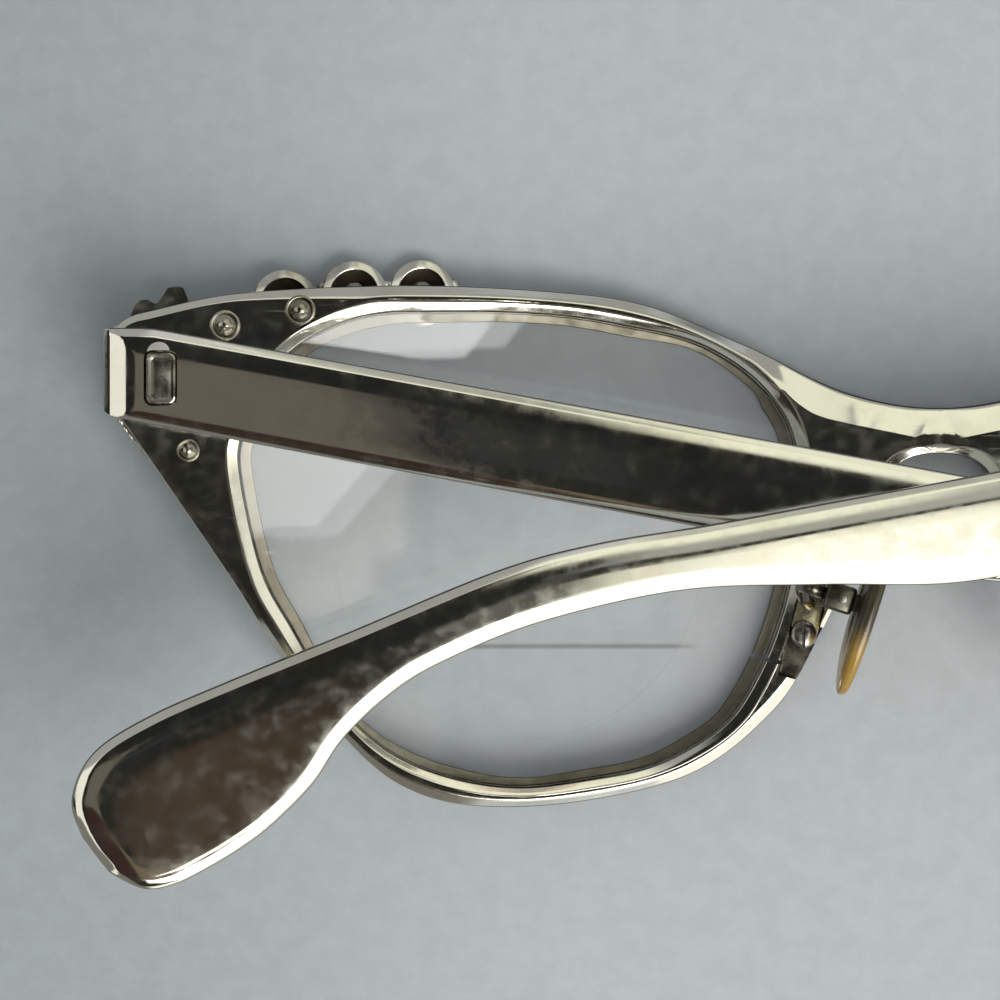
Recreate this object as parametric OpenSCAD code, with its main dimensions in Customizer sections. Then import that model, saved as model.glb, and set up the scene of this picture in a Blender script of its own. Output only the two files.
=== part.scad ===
// Cat eye eyeglasses of polished aluminium, lying face down with the temples folded.
// X runs along the front, Y towards the brow, Z away from the surface they lie on.
// Every shape is drawn for the +X side (the wearer's right) and mirrored for the left.

/* [Lens] */
// Half width of the lens opening
opening_half_w = 21.5; // [19:0.1:24]
// Half height of the lens opening
opening_half_h = 18.2; // [15:0.1:20]
// Distance from the middle of the bridge to the middle of the opening
lens_x = 32.4; // [31:0.1:36]
// Thickness of the lens at its centre
lens_t = 2; // [1.6:0.1:2.4]
// Radius of the lens's front curve
lens_r = 120; // [100:5:200]
// Height of the lens edge that the groove holds
lens_edge_t = 0.8; // [0.5:0.1:1]
// Depth of the groove in the rim
groove_depth = 0.55; // [0.3:0.05:0.7]
// Gap between the lens edge and the groove
lens_fit = 0.05; // [0.03:0.01:0.1]
// Width of the near segment of a straight top bifocal
segment_w = 28; // [20:1:30]
// Height of the near segment's top line below the middle of the lens
segment_drop = 0.6; // [0:0.2:4]
// Step of the near segment's ledge
segment_step = 0.15; // [0.1:0.05:0.3]

/* [Front] */
// Radius of the gentle bow of the whole front
front_r = 600; // [450:10:900]
// Thickness of the front
front_t = 2.8; // [2.6:0.1:3.4]
// Width of the end piece beyond the lens opening
end_w = 9.1; // [8.6:0.1:12]
// Height of the bridge's upper edge over the middle of the lenses
bridge_top_y = 10.9; // [10:0.1:12]
// Height of the bridge bar
bridge_h = 3.5; // [2.5:0.1:4]
// Width of the bright bead that runs round the opening at the back
bead_w = 0.8; // [0.5:0.1:1]
// Height of that bead over the back of the rim
bead_h = 0.3; // [0.1:0.05:0.5]

/* [Temple] */
// Thickness of the flat temple
temple_t = 2.2; // [1.6:0.1:2.6]
// Length of the temple from the hinge axis to the end of the paddle
temple_len = 123.7; // [115:0.1:130]
// Length of the temple behind the start of its ear bend
tail_len = 44.7; // [42:0.1:48]
// Width of the temple's square butt
butt_w = 6.4; // [6.2:0.1:7]
// Width of the blade before the ear bend
blade_w = 7.4; // [6.5:0.1:8]
// Width of the neck at the ear bend
neck_w = 4.4; // [4:0.1:5]
// Width of the paddle behind the ear
paddle_w = 11.3; // [10.4:0.1:11.8]
// Step of the bevel round the temple's faces
temple_bevel = 0.5; // [0.3:0.05:0.6]

/* [Hinge] */
// Radius of the hinge knuckles
knuckle_r = 1.5; // [1.3:0.05:1.6]
// Distance of the hinge axis from the end of the front
hinge_inset = 3.7; // [3.2:0.1:4.2]
// Depth of the temple's centre line below the brow edge
hinge_drop = 7; // [6.6:0.1:7.4]
// Length of the temple's middle knuckle
mid_knuckle_h = 2; // [1.6:0.1:2.2]
// Length of each of the front's two knuckles
end_knuckle_h = 1.6; // [1.4:0.1:1.8]
// Gap between neighbouring knuckles
knuckle_gap = 0.1; // [0.05:0.01:0.15]
// Radius of the hinge screw
screw_r = 0.7; // [0.6:0.05:0.8]
// Gap round the hinge screw in the temple's knuckle
screw_fit = 0.06; // [0.04:0.01:0.1]
// Gap round screws and rivets where they are held fast
held_fit = 0.02; // [0.01:0.01:0.04]
// Radius of the hinge screw's head
screw_head_r = 1.15; // [1:0.05:1.3]
// Thickness of the hinge plate on the end piece
hinge_plate_t = 0.9; // [0.7:0.1:1]
// Depth of the plate's seat in the end piece
seat_depth = 0.6; // [0.4:0.1:0.8]
// Gap round the hinge plate in its seat
seat_fit = 0.05; // [0.03:0.01:0.08]
// Radius of the two rivets that hold the hinge plate
hinge_rivet_r = 0.5; // [0.4:0.05:0.6]
// Length of the tenon along the temple
tenon_l = 2.4; // [2:0.1:2.6]
// Height of the tenon across the temple
tenon_h = 4; // [3.6:0.1:4.4]
// Gap round the tenon in its slot
tenon_fit = 0.04; // [0.03:0.01:0.08]
// Running clearance between the parts that swing
swing_gap = 0.1; // [0.08:0.01:0.2]
// Angle at which the upper temple rests on its fold
upper_lift = 5.5; // [5:0.1:7]

/* [Nose pads] */
// Length of a nose pad
pad_l = 13.8; // [12:0.1:15]
// Width of a nose pad
pad_w = 7; // [6:0.1:7.2]
// Thickness of a nose pad
pad_t = 1.3; // [1.2:0.1:1.8]
// Distance from the middle of the bridge to the middle of a pad
pad_x = 6.3; // [6.1:0.1:7]
// Height of the middle of a pad
pad_y = -4.2; // [-4.6:0.1:-3.4]
// Frontal angle of a pad
pad_angle = 18; // [14:1:22]
// Radius of the pin on which a pad rocks
pad_pin_r = 0.35; // [0.3:0.01:0.4]
// Gap round that pin in the pad's lug
pad_pin_fit = 0.05; // [0.04:0.01:0.08]
// Radius of the wire of a pad arm
arm_r = 0.5; // [0.4:0.05:0.6]

/* [Lock and trim] */
// Length of the pocket for the rim lock and the foot of the pad arm
pocket_l = 7; // [6.6:0.1:7.2]
// Width of that pocket
pocket_w = 2.3; // [2.1:0.1:2.4]
// Depth of that pocket
pocket_depth = 1.2; // [1:0.1:1.3]
// Thickness of the rim lock's bar
lock_t = 0.5; // [0.4:0.05:0.6]
// Thickness of the pad arm's foot
foot_t = 0.6; // [0.4:0.05:0.7]
// Radius of the lock screw's head
lock_head_r = 1.05; // [0.9:0.05:1.1]
// Radius of the lock screw
lock_screw_r = 0.45; // [0.35:0.05:0.5]
// Thickness of the struck trim on the corner
trim_t = 0.8; // [0.6:0.1:1]
// Radius of one scallop of the trim on the brow
scallop_r = 2.5; // [2.3:0.1:2.6]
// Wall of a scallop's ring
scallop_wall = 0.4; // [0.3:0.05:0.5]
// Height of a scallop's ring over the face of the front
scallop_h = 1.3; // [1:0.1:1.5]
// Height of the stones' flat tables over the face of the front
stone_h = 1.6; // [1.4:0.1:1.6]
// Gap round a stone in its setting
stone_fit = 0.05; // [0.03:0.01:0.08]
// Radius of the bright beads between the scallops
bead_r = 0.55; // [0.4:0.05:0.6]
// Radius of one grain of the beaded edge
grain_r = 0.36; // [0.3:0.02:0.4]
// Radius of the trim's rivets
trim_rivet_r = 0.6; // [0.5:0.05:0.7]

/* [Hidden] */
left = -1;
right = 1;
// Longer than any piece is thick, for cuts that go right through
through = 40;
// Overlap that makes two solids of one piece a single solid
weld = 0.05;

// A smooth curve through the inner points of a list; the end points only give it direction
function curve(p, steps) = [
    for (i = [1 : len(p) - 3], k = [0 : steps - 1])
        let (t = k / steps, a = p[i - 1], b = p[i], c = p[i + 1], d = p[i + 2])
        b + ((c - a) * t + (2 * a - 5 * b + 4 * c - d) * t * t
            + (3 * b - a - 3 * c + d) * t * t * t) / 2
];
function closed_curve(p, steps) = curve(concat([p[len(p) - 1]], p, [p[0], p[1]]), steps);
function flip_x(p) = [-p[0], p[1]];

// Lens opening, about its own middle, as shares of its half width and half height
opening_shape = [
    [-1, 0.33], [-0.925, -0.08], [-0.815, -0.33], [-0.7, -0.56], [-0.565, -0.76],
    [-0.4, -0.893], [-0.19, -0.975], [0.02, -1], [0.25, -0.967], [0.45, -0.92],
    [0.61, -0.835], [0.75, -0.715], [0.855, -0.52], [0.93, -0.3], [0.975, -0.08],
    [1, 0.16], [0.995, 0.36], [0.96, 0.53], [0.88, 0.67], [0.76, 0.79],
    [0.6, 0.885], [0.4, 0.938], [0.18, 0.982], [-0.06, 1], [-0.3, 1],
    [-0.5, 0.993], [-0.67, 0.938], [-0.82, 0.83], [-0.93, 0.67], [-0.985, 0.5]
];
function opening_at(s) = [lens_x - s[0] * opening_half_w, s[1] * opening_half_h];
opening_points = closed_curve([for (s = opening_shape) opening_at(s)], 3);

// The outline of the front goes round the opening, so its own levels follow the opening's size
brow_y = opening_half_h + 2;
chin_y = -opening_half_h - 1.5;
bridge_low_y = bridge_top_y - bridge_h;
end_x = lens_x + opening_half_w + end_w;
nasal_x = lens_x - opening_half_w;
// Upper edge of one half of the front, from the bridge to the corner
brow_run = [
    [-7.1, bridge_top_y + 1.2], [0, bridge_top_y], [7.1, bridge_top_y + 1.2],
    [nasal_x + 3.8, brow_y - 4.6], [nasal_x + 11.5, brow_y - 1.5], [lens_x - 2.4, brow_y - 0.4],
    [lens_x + 9.1, brow_y], [end_x - 9.3, brow_y - 0.7], [end_x - 1.7, brow_y - 2.3],
    [end_x + 6, brow_y - 4]
];
// Lower edge of that half, from the corner to the middle of the bridge
chin_run = [
    [end_x + 1, brow_y - 7], [end_x, brow_y - 9.4], [end_x - 3.2, brow_y - 14.1],
    [end_x - 8.6, -1.9], [end_x - 14.2, -10.4], [lens_x + 9.1, chin_y + 1.8],
    [lens_x, chin_y], [nasal_x + 9.2, chin_y + 2.1], [nasal_x + 2, chin_y + 7.2],
    [nasal_x - 1.5, -6.9], [nasal_x - 3.8, -2], [5.6, 1.5],
    [3.4, bridge_low_y - 1.1], [0, bridge_low_y], [-3.4, bridge_low_y - 1.1]
];
front_half = concat(
    curve(brow_run, 5),
    [[end_x - 1.7, brow_y - 2.3], [end_x - 0.4, brow_y - 3], [end_x, brow_y - 4]],
    curve(chin_run, 5)
);
front_points = concat(
    front_half,
    [for (i = [len(front_half) - 1 : -1 : 1]) flip_x(front_half[i])]
);

// The lens leans with the front's own bow at its middle
lens_lean = asin(lens_x / front_r);
edge_sag = lens_r - sqrt(lens_r * lens_r - pow((opening_half_w + opening_half_h) / 2, 2));
rim_sag = front_r - sqrt(front_r * front_r - pow((opening_half_w + opening_half_h) / 2, 2));
// Depth of the lens's front pole behind the front's face, measured square to that face
lens_pole = front_t / 2 + rim_sag - edge_sag - lens_t / 2;
// The surface that the glasses lie on is where the two lens poles touch it
front_z0 = -lens_pole - (front_r - sqrt(front_r * front_r - lens_x * lens_x));
function face_z(x, y) = front_z0 + front_r - sqrt(front_r * front_r - x * x - y * y);
function back_z(x, y) = front_z0 + front_r - sqrt(pow(front_r - front_t, 2) - x * x - y * y);

// Hinge
hinge_x = end_x - hinge_inset;
hinge_y = brow_y - hinge_drop;
temple_in = knuckle_r + swing_gap;
butt_len = temple_in + temple_t - 0.2;
butt_top_y = hinge_y + butt_w / 2;
hinge_z = back_z(end_x + 0.1, butt_top_y) + butt_len + swing_gap;
plate_x0 = hinge_x - 4.7;
plate_x1 = hinge_x + knuckle_r - swing_gap;
seat_z = back_z(hinge_x - knuckle_r, hinge_y) - seat_depth;
plate_top_z = seat_z + hinge_plate_t;
knuckles_h = mid_knuckle_h + 2 * end_knuckle_h + 2 * knuckle_gap;
screw_head_t = 0.6;
hinge_rivet_x = plate_x0 + 1.2;
rivet_spread = 1.7;

// Temple outline, along the blade from the hinge axis and across it
blade_slope = 0.182;
bend_u = temple_len - tail_len;
bend_y = hinge_y + butt_w / 2 - blade_slope * bend_u;
paddle_y = bend_y - 19.4;
paddle_top = [bend_u + 33.7, bend_y - 10.8];
paddle_end = paddle_top + [5.7, -2.5];
paddle_low = paddle_end + paddle_w * [-0.36, -0.93];

// Nose pads
pad_z = back_z(pad_x, pad_y) + pad_w / 2 + 1;
lug_x = pad_t / 2 + 1.3;
box_gap = 0.35;
box_wall = 0.4;
box_x0 = pad_t / 2 + box_gap;
box_x1 = lug_x + 1.1;
lug_w = 1.3;
box_w = 2.4;

// Rim lock
lock_at = [nasal_x - 0.35, -6.5];
lock_turn = 13;
lock_floor_z = back_z(lock_at[0], lock_at[1]) - pocket_depth;
lock_foot_z = lock_floor_z + lock_t;

// Trim
scallop_at = [[end_x - 23.2, brow_y - 0.4], [end_x - 18, brow_y - 0.5], [end_x - 12.7, brow_y - 1.2]];
corner_stone_at = [end_x - 5.4, brow_y - 5.6];
trim_rivet_at = [
    [end_x - 13.8, brow_y - 1.9], [end_x - 8.1, brow_y - 3.1], [end_x - 5.3, brow_y - 12.6]
];
trim_rivet_head_r = [1.15, 1.15, 0.85];
stone_r = scallop_r - scallop_wall - stone_fit;
corner_stone_r = 1.6;

module sided(side) {
    mirror([side == left ? 1 : 0, 0, 0])
        children();
}

// Everything between two depths behind the bowed face of the front
module front_shell(from, to) {
    translate([0, 0, front_z0 + front_r])
        difference() {
            sphere(r = front_r - from, $fn = 360);
            sphere(r = front_r - to, $fn = 360);
        }
}

// Turns what is drawn on a flat face at the origin to sit square on the bowed front
module on_face(p) {
    turn = atan2(p[1], p[0]);
    translate([0, 0, front_z0 + front_r])
        rotate([0, 0, turn])
            rotate([0, -asin(norm(p) / front_r), 0])
                rotate([0, 0, -turn])
                    translate([0, 0, -front_r])
                        children();
}

// The lens's own frame: origin at its front pole, axis square to the face of the front
module at_lens() {
    translate([lens_x, 0, front_z0 + front_r - sqrt(front_r * front_r - lens_x * lens_x)])
        rotate([0, -lens_lean, 0])
            translate([0, 0, lens_pole])
                children();
}

module lens_shell(from, to) {
    translate([0, 0, lens_r])
        difference() {
            sphere(r = lens_r - from, $fn = 240);
            sphere(r = lens_r - to, $fn = 240);
        }
}

module opening_prism(grow, height) {
    linear_extrude(height = height, center = true)
        offset(delta = grow)
            polygon([for (p = opening_points) [p[0] - lens_x, p[1]]]);
}

module lens_groove() {
    groove_h = lens_edge_t + 2 * lens_fit;
    intersection() {
        opening_prism(groove_depth, through);
        lens_shell(lens_t / 2 - groove_h / 2, lens_t / 2 + groove_h / 2);
    }
}

module pocket_shape() {
    square([pocket_w, pocket_l], center = true);
}

module at_lock() {
    translate([lock_at[0], lock_at[1], 0])
        rotate([0, 0, lock_turn])
            children();
}

// Keeps what lies within the outline of the front, so that nothing stands out past the rim
module within_outline() {
    intersection() {
        linear_extrude(height = through, center = true)
            polygon(front_points);
        children();
    }
}

module half_cuts() {
    at_lens() {
        opening_prism(0, through);
        lens_groove();
    }
    translate([plate_x0 - seat_fit, hinge_y - knuckles_h / 2 - seat_fit, seat_z])
        cube([plate_x1 - plate_x0 + 2 * seat_fit, knuckles_h + 2 * seat_fit, through]);
    at_lock()
        translate([0, 0, lock_floor_z])
            linear_extrude(height = through) {
                pocket_shape();
                // Open at the nose side, where hardly any wall would be left
                translate([-pocket_w, -pocket_l / 2])
                    square([pocket_w, pocket_l * 0.62]);
            }
    at_lock()
        translate([0, 0, lock_floor_z - 0.8])
            cylinder(r = lock_screw_r + held_fit, h = 1, $fn = 24);
    // The rim is sawn through below the lock so that the lens can be put in
    at_lock()
        translate([0, -pocket_l / 2 + 1, front_z0])
            cube([pocket_w * 3, 0.3, through], center = true);
    for (p = trim_rivet_at)
        on_face(p)
            cylinder(r = trim_rivet_r + held_fit, h = through, center = true, $fn = 24);
    for (dy = [-rivet_spread, rivet_spread])
        translate([hinge_rivet_x, hinge_y + dy, 0])
            cylinder(r = hinge_rivet_r + held_fit, h = through, center = true, $fn = 24);
}

module front_frame() {
    color("#c9c8ba")
        difference() {
            union() {
                intersection() {
                    linear_extrude(height = through, center = true)
                        polygon(front_points);
                    front_shell(0, front_t);
                }
                for (side = [left, right])
                    sided(side)
                        intersection() {
                            at_lens()
                                opening_prism(bead_w, through);
                            front_shell(front_t / 2, front_t + bead_h);
                        }
            }
            for (side = [left, right])
                sided(side)
                    half_cuts();
        }
}

// Straight top, round below
module segment_shape() {
    intersection() {
        translate([0, -segment_drop])
            circle(r = segment_w / 2, $fn = 72);
        translate([-segment_w, -segment_drop - segment_w])
            square([2 * segment_w, segment_w]);
    }
}

module lens(side) {
    color("#dfe6e4", 0.4)
        sided(side)
            at_lens()
            {
                intersection() {
                    opening_prism(-lens_fit, through);
                    lens_shell(0, lens_t);
                }
                intersection() {
                    opening_prism(groove_depth - lens_fit, through);
                    lens_shell(lens_t / 2 - lens_edge_t / 2, lens_t / 2 + lens_edge_t / 2);
                }
                // The near segment stands proud on the side towards the eye
                intersection() {
                    linear_extrude(height = through, center = true)
                        segment_shape();
                    lens_shell(lens_t / 2, lens_t + segment_step);
                }
            }
}

module trim_plate_shape() {
    polygon(closed_curve([
        [end_x + 0.5, brow_y - 8.2], [end_x + 0.5, brow_y - 5], [end_x - 0.2, brow_y - 2.8],
        [end_x - 1.4, brow_y - 1], [end_x - 2.4, brow_y - 1.3], [end_x - 3.6, brow_y - 0.15],
        [end_x - 4.7, brow_y - 0.05], [end_x - 5.7, brow_y - 1.3], [end_x - 9, brow_y - 1.6],
        [end_x - 13, brow_y - 2.6],
        [end_x - 9.6, brow_y - 4.8], [end_x - 7.6, brow_y - 8.7], [end_x - 6.4, brow_y - 13],
        [end_x - 3.6, brow_y - 13.8], [end_x - 0.8, brow_y - 11.3]
    ], 4));
}

grain_path = curve([
    [end_x - 3.6, brow_y - 15.8], [end_x - 2.6, brow_y - 13.2], [end_x - 0.8, brow_y - 11.3],
    [end_x + 0.3, brow_y - 9.2], [end_x + 0.6, brow_y - 6.2], [end_x, brow_y - 3],
    [end_x - 1.2, brow_y - 0.6]
], 4);

module corner_trim(side) {
    setting_r = corner_stone_r + stone_fit + scallop_wall;
    color("#d7d3bf")
        sided(side)
            difference() {
                union() {
                    intersection() {
                        linear_extrude(height = through, center = true)
                            trim_plate_shape();
                        front_shell(-trim_t, 0);
                    }
                    on_face(corner_stone_at)
                        translate([0, 0, -scallop_h])
                            cylinder(r = setting_r, h = scallop_h - trim_t / 2, $fn = 48);
                    for (p = grain_path)
                        translate([p[0], p[1], face_z(p[0], p[1]) - trim_t / 2])
                            sphere(r = grain_r, $fn = 24);
                }
                on_face(corner_stone_at)
                    cylinder(r = corner_stone_r + stone_fit, h = through, center = true, $fn = 48);
                for (p = trim_rivet_at)
                    on_face(p)
                        cylinder(r = trim_rivet_r + held_fit, h = through, center = true, $fn = 24);
                // The plate ends where the outer scallop begins
                on_face(scallop_at[2])
                    cylinder(r = scallop_r + seat_fit, h = through, center = true, $fn = 64);
            }
}

// Three rings, open at the back, stand past the brow edge; beads fill the corners between them
module scallop_trim(side) {
    color("#d7d3bf")
        sided(side)
            difference() {
                for (p = scallop_at)
                    on_face(p) {
                        translate([0, 0, -scallop_h])
                            cylinder(r = scallop_r, h = scallop_h, $fn = 64);
                        translate([-scallop_r, bead_r, -scallop_h])
                            sphere(r = bead_r, $fn = 32);
                    }
                for (p = scallop_at)
                    on_face(p)
                        cylinder(r = stone_r + stone_fit, h = through, center = true, $fn = 64);
            }
}

// A cut stone: flat table towards -Z, eight-sided crown and a shallow pavilion
module stone(r, h) {
    translate([0, 0, -h])
        cylinder(r1 = r * 0.62, r2 = r, h = h * 0.35, $fn = 8);
    translate([0, 0, -h * 0.65])
        cylinder(r1 = r, r2 = r * 0.5, h = h * 0.65, $fn = 8);
}

module rhinestones(side) {
    color("#eef2f2", 0.7)
        sided(side) {
            for (p = scallop_at)
                on_face(p)
                    stone(stone_r, stone_h);
            on_face(corner_stone_at)
                stone(corner_stone_r, stone_h);
        }
}

module trim_rivet(p, head_r, reach) {
    head_h = head_r * 0.75;
    dome_r = (head_r * head_r + head_h * head_h) / (2 * head_h);
    on_face(p) {
        translate([0, 0, -reach])
            cylinder(r = trim_rivet_r, h = front_t + reach + weld, $fn = 24);
        translate([0, 0, front_t + head_h - dome_r])
            intersection() {
                sphere(r = dome_r, $fn = 48);
                translate([0, 0, dome_r - head_h])
                    cylinder(r = dome_r, h = dome_r, $fn = 48);
            }
    }
}

module trim_rivets(side) {
    color("#b9b5a6")
        sided(side)
            for (i = [0 : len(trim_rivet_at) - 1])
                trim_rivet(trim_rivet_at[i], trim_rivet_head_r[i], i == 0 ? 0 : trim_t);
}

module along_y(r, h, n) {
    rotate([90, 0, 0])
        cylinder(r = r, h = h, center = true, $fn = n);
}

module hinge_screw_bore(grow) {
    translate([hinge_x, hinge_y, hinge_z])
        along_y(screw_r + grow, through, 32);
}

// Plate let into the end piece, with two knuckles that stand up to the axis
module hinge_front(side) {
    lug_offset = (mid_knuckle_h + end_knuckle_h) / 2 + knuckle_gap;
    stem_h = hinge_z - plate_top_z + weld;
    color("#a9a79b")
        sided(side)
            difference() {
                union() {
                    translate([plate_x0, hinge_y - knuckles_h / 2, seat_z])
                        cube([plate_x1 - plate_x0, knuckles_h, hinge_plate_t]);
                    for (dy = [-lug_offset, lug_offset])
                        translate([hinge_x, hinge_y + dy, hinge_z]) {
                            along_y(knuckle_r, end_knuckle_h, 48);
                            translate([-knuckle_r, -end_knuckle_h / 2, -stem_h])
                                cube([knuckle_r + plate_x1 - hinge_x, end_knuckle_h, stem_h]);
                        }
                }
                hinge_screw_bore(held_fit);
                // Counterbore for the screw's head in the upper knuckle
                translate([hinge_x, hinge_y + knuckles_h / 2, hinge_z])
                    along_y(screw_head_r + held_fit, 2 * screw_head_t, 32);
                for (dy = [-rivet_spread, rivet_spread])
                    translate([hinge_rivet_x, hinge_y + dy, 0])
                        cylinder(r = hinge_rivet_r + held_fit, h = through, center = true, $fn = 24);
            }
}

module hinge_rivets(side) {
    color("#b9b5a6")
        sided(side)
            for (y = [hinge_y - rivet_spread, hinge_y + rivet_spread]) {
                // Flush with the face of the front, where the corner trim may cover it
                foot_z = face_z(hinge_rivet_x + hinge_rivet_r, y + hinge_rivet_r) + held_fit;
                translate([hinge_rivet_x, y, foot_z])
                    cylinder(r = hinge_rivet_r, h = plate_top_z + weld - foot_z, $fn = 24);
                translate([hinge_rivet_x, y, plate_top_z])
                    cylinder(r = hinge_rivet_r * 1.8, h = 0.4, $fn = 32);
            }
}

module hinge_screw(side) {
    color("#8f8d84")
        sided(side)
            translate([hinge_x, hinge_y, hinge_z])
                difference() {
                    union() {
                        along_y(screw_r, knuckles_h, 32);
                        translate([0, (knuckles_h - screw_head_t) / 2, 0])
                            along_y(screw_head_r, screw_head_t, 32);
                    }
                    translate([0, knuckles_h / 2, 0])
                        cube([2 * screw_head_r + 1, 0.6, 0.3], center = true);
                }
}

// Turns what is drawn for a folded temple to where it rests: the right one lies on the left
module temple_place(side) {
    translate([hinge_x, 0, hinge_z])
        rotate([0, side == right ? upper_lift : 0, 0])
            translate([-hinge_x, 0, -hinge_z])
                children();
}

module tenon_shape(grow) {
    translate([hinge_x - tenon_l + 0.5 - grow, hinge_y - 0.4 - tenon_h / 2 - grow])
        square([tenon_l + 2 * grow, tenon_h + 2 * grow]);
}

// The temple's own half of the hinge: one knuckle, a neck and a tenon staked into the slot
module hinge_temple(side) {
    color("#a9a79b")
        sided(side)
            temple_place(side)
                difference() {
                    union() {
                        translate([hinge_x, hinge_y, hinge_z])
                            along_y(knuckle_r, mid_knuckle_h, 48);
                        translate([hinge_x - tenon_l + 0.5, hinge_y - mid_knuckle_h / 2, hinge_z])
                            cube([tenon_l, mid_knuckle_h, temple_in + 0.3]);
                        translate([0, 0, hinge_z + temple_in])
                            linear_extrude(height = temple_t - 0.3)
                                tenon_shape(0);
                    }
                    hinge_screw_bore(screw_fit);
                }
}

blade_shape = concat(
    [[-butt_len, butt_top_y], [0, butt_top_y]],
    curve([
        [bend_u - 8, bend_y + 8 * blade_slope], [bend_u, bend_y], [bend_u + 8, bend_y - 1.3],
        [bend_u + 15, bend_y - 3.2], [bend_u + 25.5, bend_y - 7.5], paddle_top, paddle_end,
        [temple_len - 1.4, paddle_y + 3.6], [temple_len, paddle_y], [temple_len - 0.8, paddle_y - 3]
    ], 4),
    [[temple_len, paddle_y], [temple_len - 1, paddle_y - 2.5], [temple_len - 2.8, paddle_y - 4.7],
     [temple_len - 5, paddle_low[1] - 1.4], [temple_len - 7.2, paddle_low[1] - 1.1]],
    curve([
        paddle_low + [3.8, -1], paddle_low, paddle_top + paddle_w * [-0.24, -0.91],
        [temple_len - 16.8, paddle_y + 1.4], [temple_len - 18.8, paddle_y + 4.6],
        [temple_len - 21.5, paddle_y + 8.2],
        [bend_u + 19, bend_y - 5.2 - neck_w], [bend_u + 12, bend_y - 2.4 - neck_w],
        [bend_u + 2, bend_y - neck_w - 0.2],
        [bend_u - 8, bend_y + 0.55 - neck_w], [bend_u - 18, bend_y + 3.3 - blade_w],
        [bend_u - 28, bend_y + 5.2 - blade_w]
    ], 4),
    [[-butt_len, butt_top_y - butt_w]]
);

module temple(side) {
    color("#cfcdbf")
        sided(side)
            temple_place(side)
                translate([hinge_x, 0, hinge_z + temple_in])
                    difference() {
                        union() {
                            translate([0, 0, temple_bevel])
                                linear_extrude(height = temple_t - 2 * temple_bevel)
                                    mirror([1, 0]) polygon(blade_shape);
                            linear_extrude(height = temple_t)
                                mirror([1, 0]) offset(delta = -temple_bevel) polygon(blade_shape);
                        }
                        translate([-hinge_x, 0, -1])
                            linear_extrude(height = temple_t + 2)
                                tenon_shape(tenon_fit);
                    }
}

// Nickel bar across the saw cut of the rim
module rim_lock(side) {
    color("#8d8c83")
        sided(side)
            difference() {
                within_outline()
                    at_lock()
                        translate([0, 0, lock_floor_z])
                            linear_extrude(height = lock_t)
                                offset(delta = -lens_fit)
                                    pocket_shape();
                at_lock()
                    cylinder(r = lock_screw_r + held_fit, h = through, center = true, $fn = 24);
            }
}

module pad_arm_screw(side) {
    shank = 1.6;
    color("#7f7d74")
        sided(side)
            at_lock()
                difference() {
                    union() {
                        translate([0, 0, lock_foot_z + foot_t - shank])
                            cylinder(r = lock_screw_r, h = shank, $fn = 24);
                        translate([0, 0, lock_foot_z + foot_t])
                            cylinder(r = lock_head_r, h = 0.5, $fn = 32);
                    }
                    translate([0, 0, lock_foot_z + foot_t + 0.5])
                        cube([0.25, 2 * lock_head_r + 1, 0.5], center = true);
                }
}

module at_pad() {
    translate([pad_x, pad_y, pad_z])
        rotate([0, 0, pad_angle])
            children();
}

function unit(v) = v / norm(v);

// Round wire along a smooth curve that never runs along Y: one ring of points at each step
module wire(p, r, sides) {
    last = len(p) - 1;
    rings = [
        for (i = [0 : last])
            let (
                along = unit(p[min(i + 1, last)] - p[max(i - 1, 0)]),
                across = unit(cross(along, [0, 1, 0])),
                up = cross(across, along)
            )
            for (k = [0 : sides - 1])
                p[i] + r * (cos(360 * k / sides) * across + sin(360 * k / sides) * up)
    ];
    sleeve = [
        for (i = [0 : last - 1], k = [0 : sides - 1])
            let (a = i * sides + k, b = i * sides + (k + 1) % sides)
            [a, b, b + sides, a + sides]
    ];
    near_end = [for (k = [sides - 1 : -1 : 0]) k];
    far_end = [for (k = [0 : sides - 1]) last * sides + k];
    polyhedron(rings, concat(sleeve, [near_end, far_end]));
}

module pad_arm(side) {
    box_mid = [
        pad_x + (box_x1 + 0.2) * cos(pad_angle), pad_y + (box_x1 + 0.2) * sin(pad_angle), pad_z
    ];
    foot_mid = [lock_at[0] - 0.5, lock_at[1] + 2.3, lock_foot_z + foot_t / 2];
    color("#6e6c64")
        sided(side) {
            difference() {
                within_outline()
                    at_lock()
                        translate([0, pocket_l / 4 - 0.45, lock_foot_z])
                            linear_extrude(height = foot_t)
                                square([pocket_w - 2 * lens_fit, pocket_l / 2 + 0.8], center = true);
                at_lock()
                    cylinder(r = lock_screw_r + held_fit, h = through, center = true, $fn = 24);
            }
            wire(concat(curve([
                foot_mid - [0.3, 0.3, 2],
                foot_mid,
                foot_mid + [0.6, 0.6, 2],
                [box_mid[0] + 1.6, box_mid[1] + 0.5, pad_z - 1],
                [box_mid[0] + 1.1, box_mid[1] + 0.4, pad_z + 0.5],
                box_mid,
                box_mid - [1.5, 0.5, 0.5]
            ], 5), [box_mid]), arm_r, 12);
            at_pad()
                difference() {
                    translate([box_x0, -box_w / 2, -lug_w / 2 - swing_gap - box_wall])
                        cube([box_x1 + box_wall - box_x0, box_w, lug_w + 2 * swing_gap + 2 * box_wall]);
                    translate([box_x0 - 1, -box_w, -lug_w / 2 - swing_gap])
                        cube([box_x1 + 1 - box_x0, 2 * box_w, lug_w + 2 * swing_gap]);
                    translate([lug_x, 0, 0])
                        cylinder(r = pad_pin_r + held_fit, h = through, center = true, $fn = 24);
                }
        }
}

module pad_pin(side) {
    pin_l = lug_w + 2 * swing_gap + 2 * box_wall + 0.4;
    color("#8f8d84")
        sided(side)
            at_pad()
                translate([lug_x, 0, 0])
                    cylinder(r = pad_pin_r, h = pin_l, center = true, $fn = 24);
}

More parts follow.
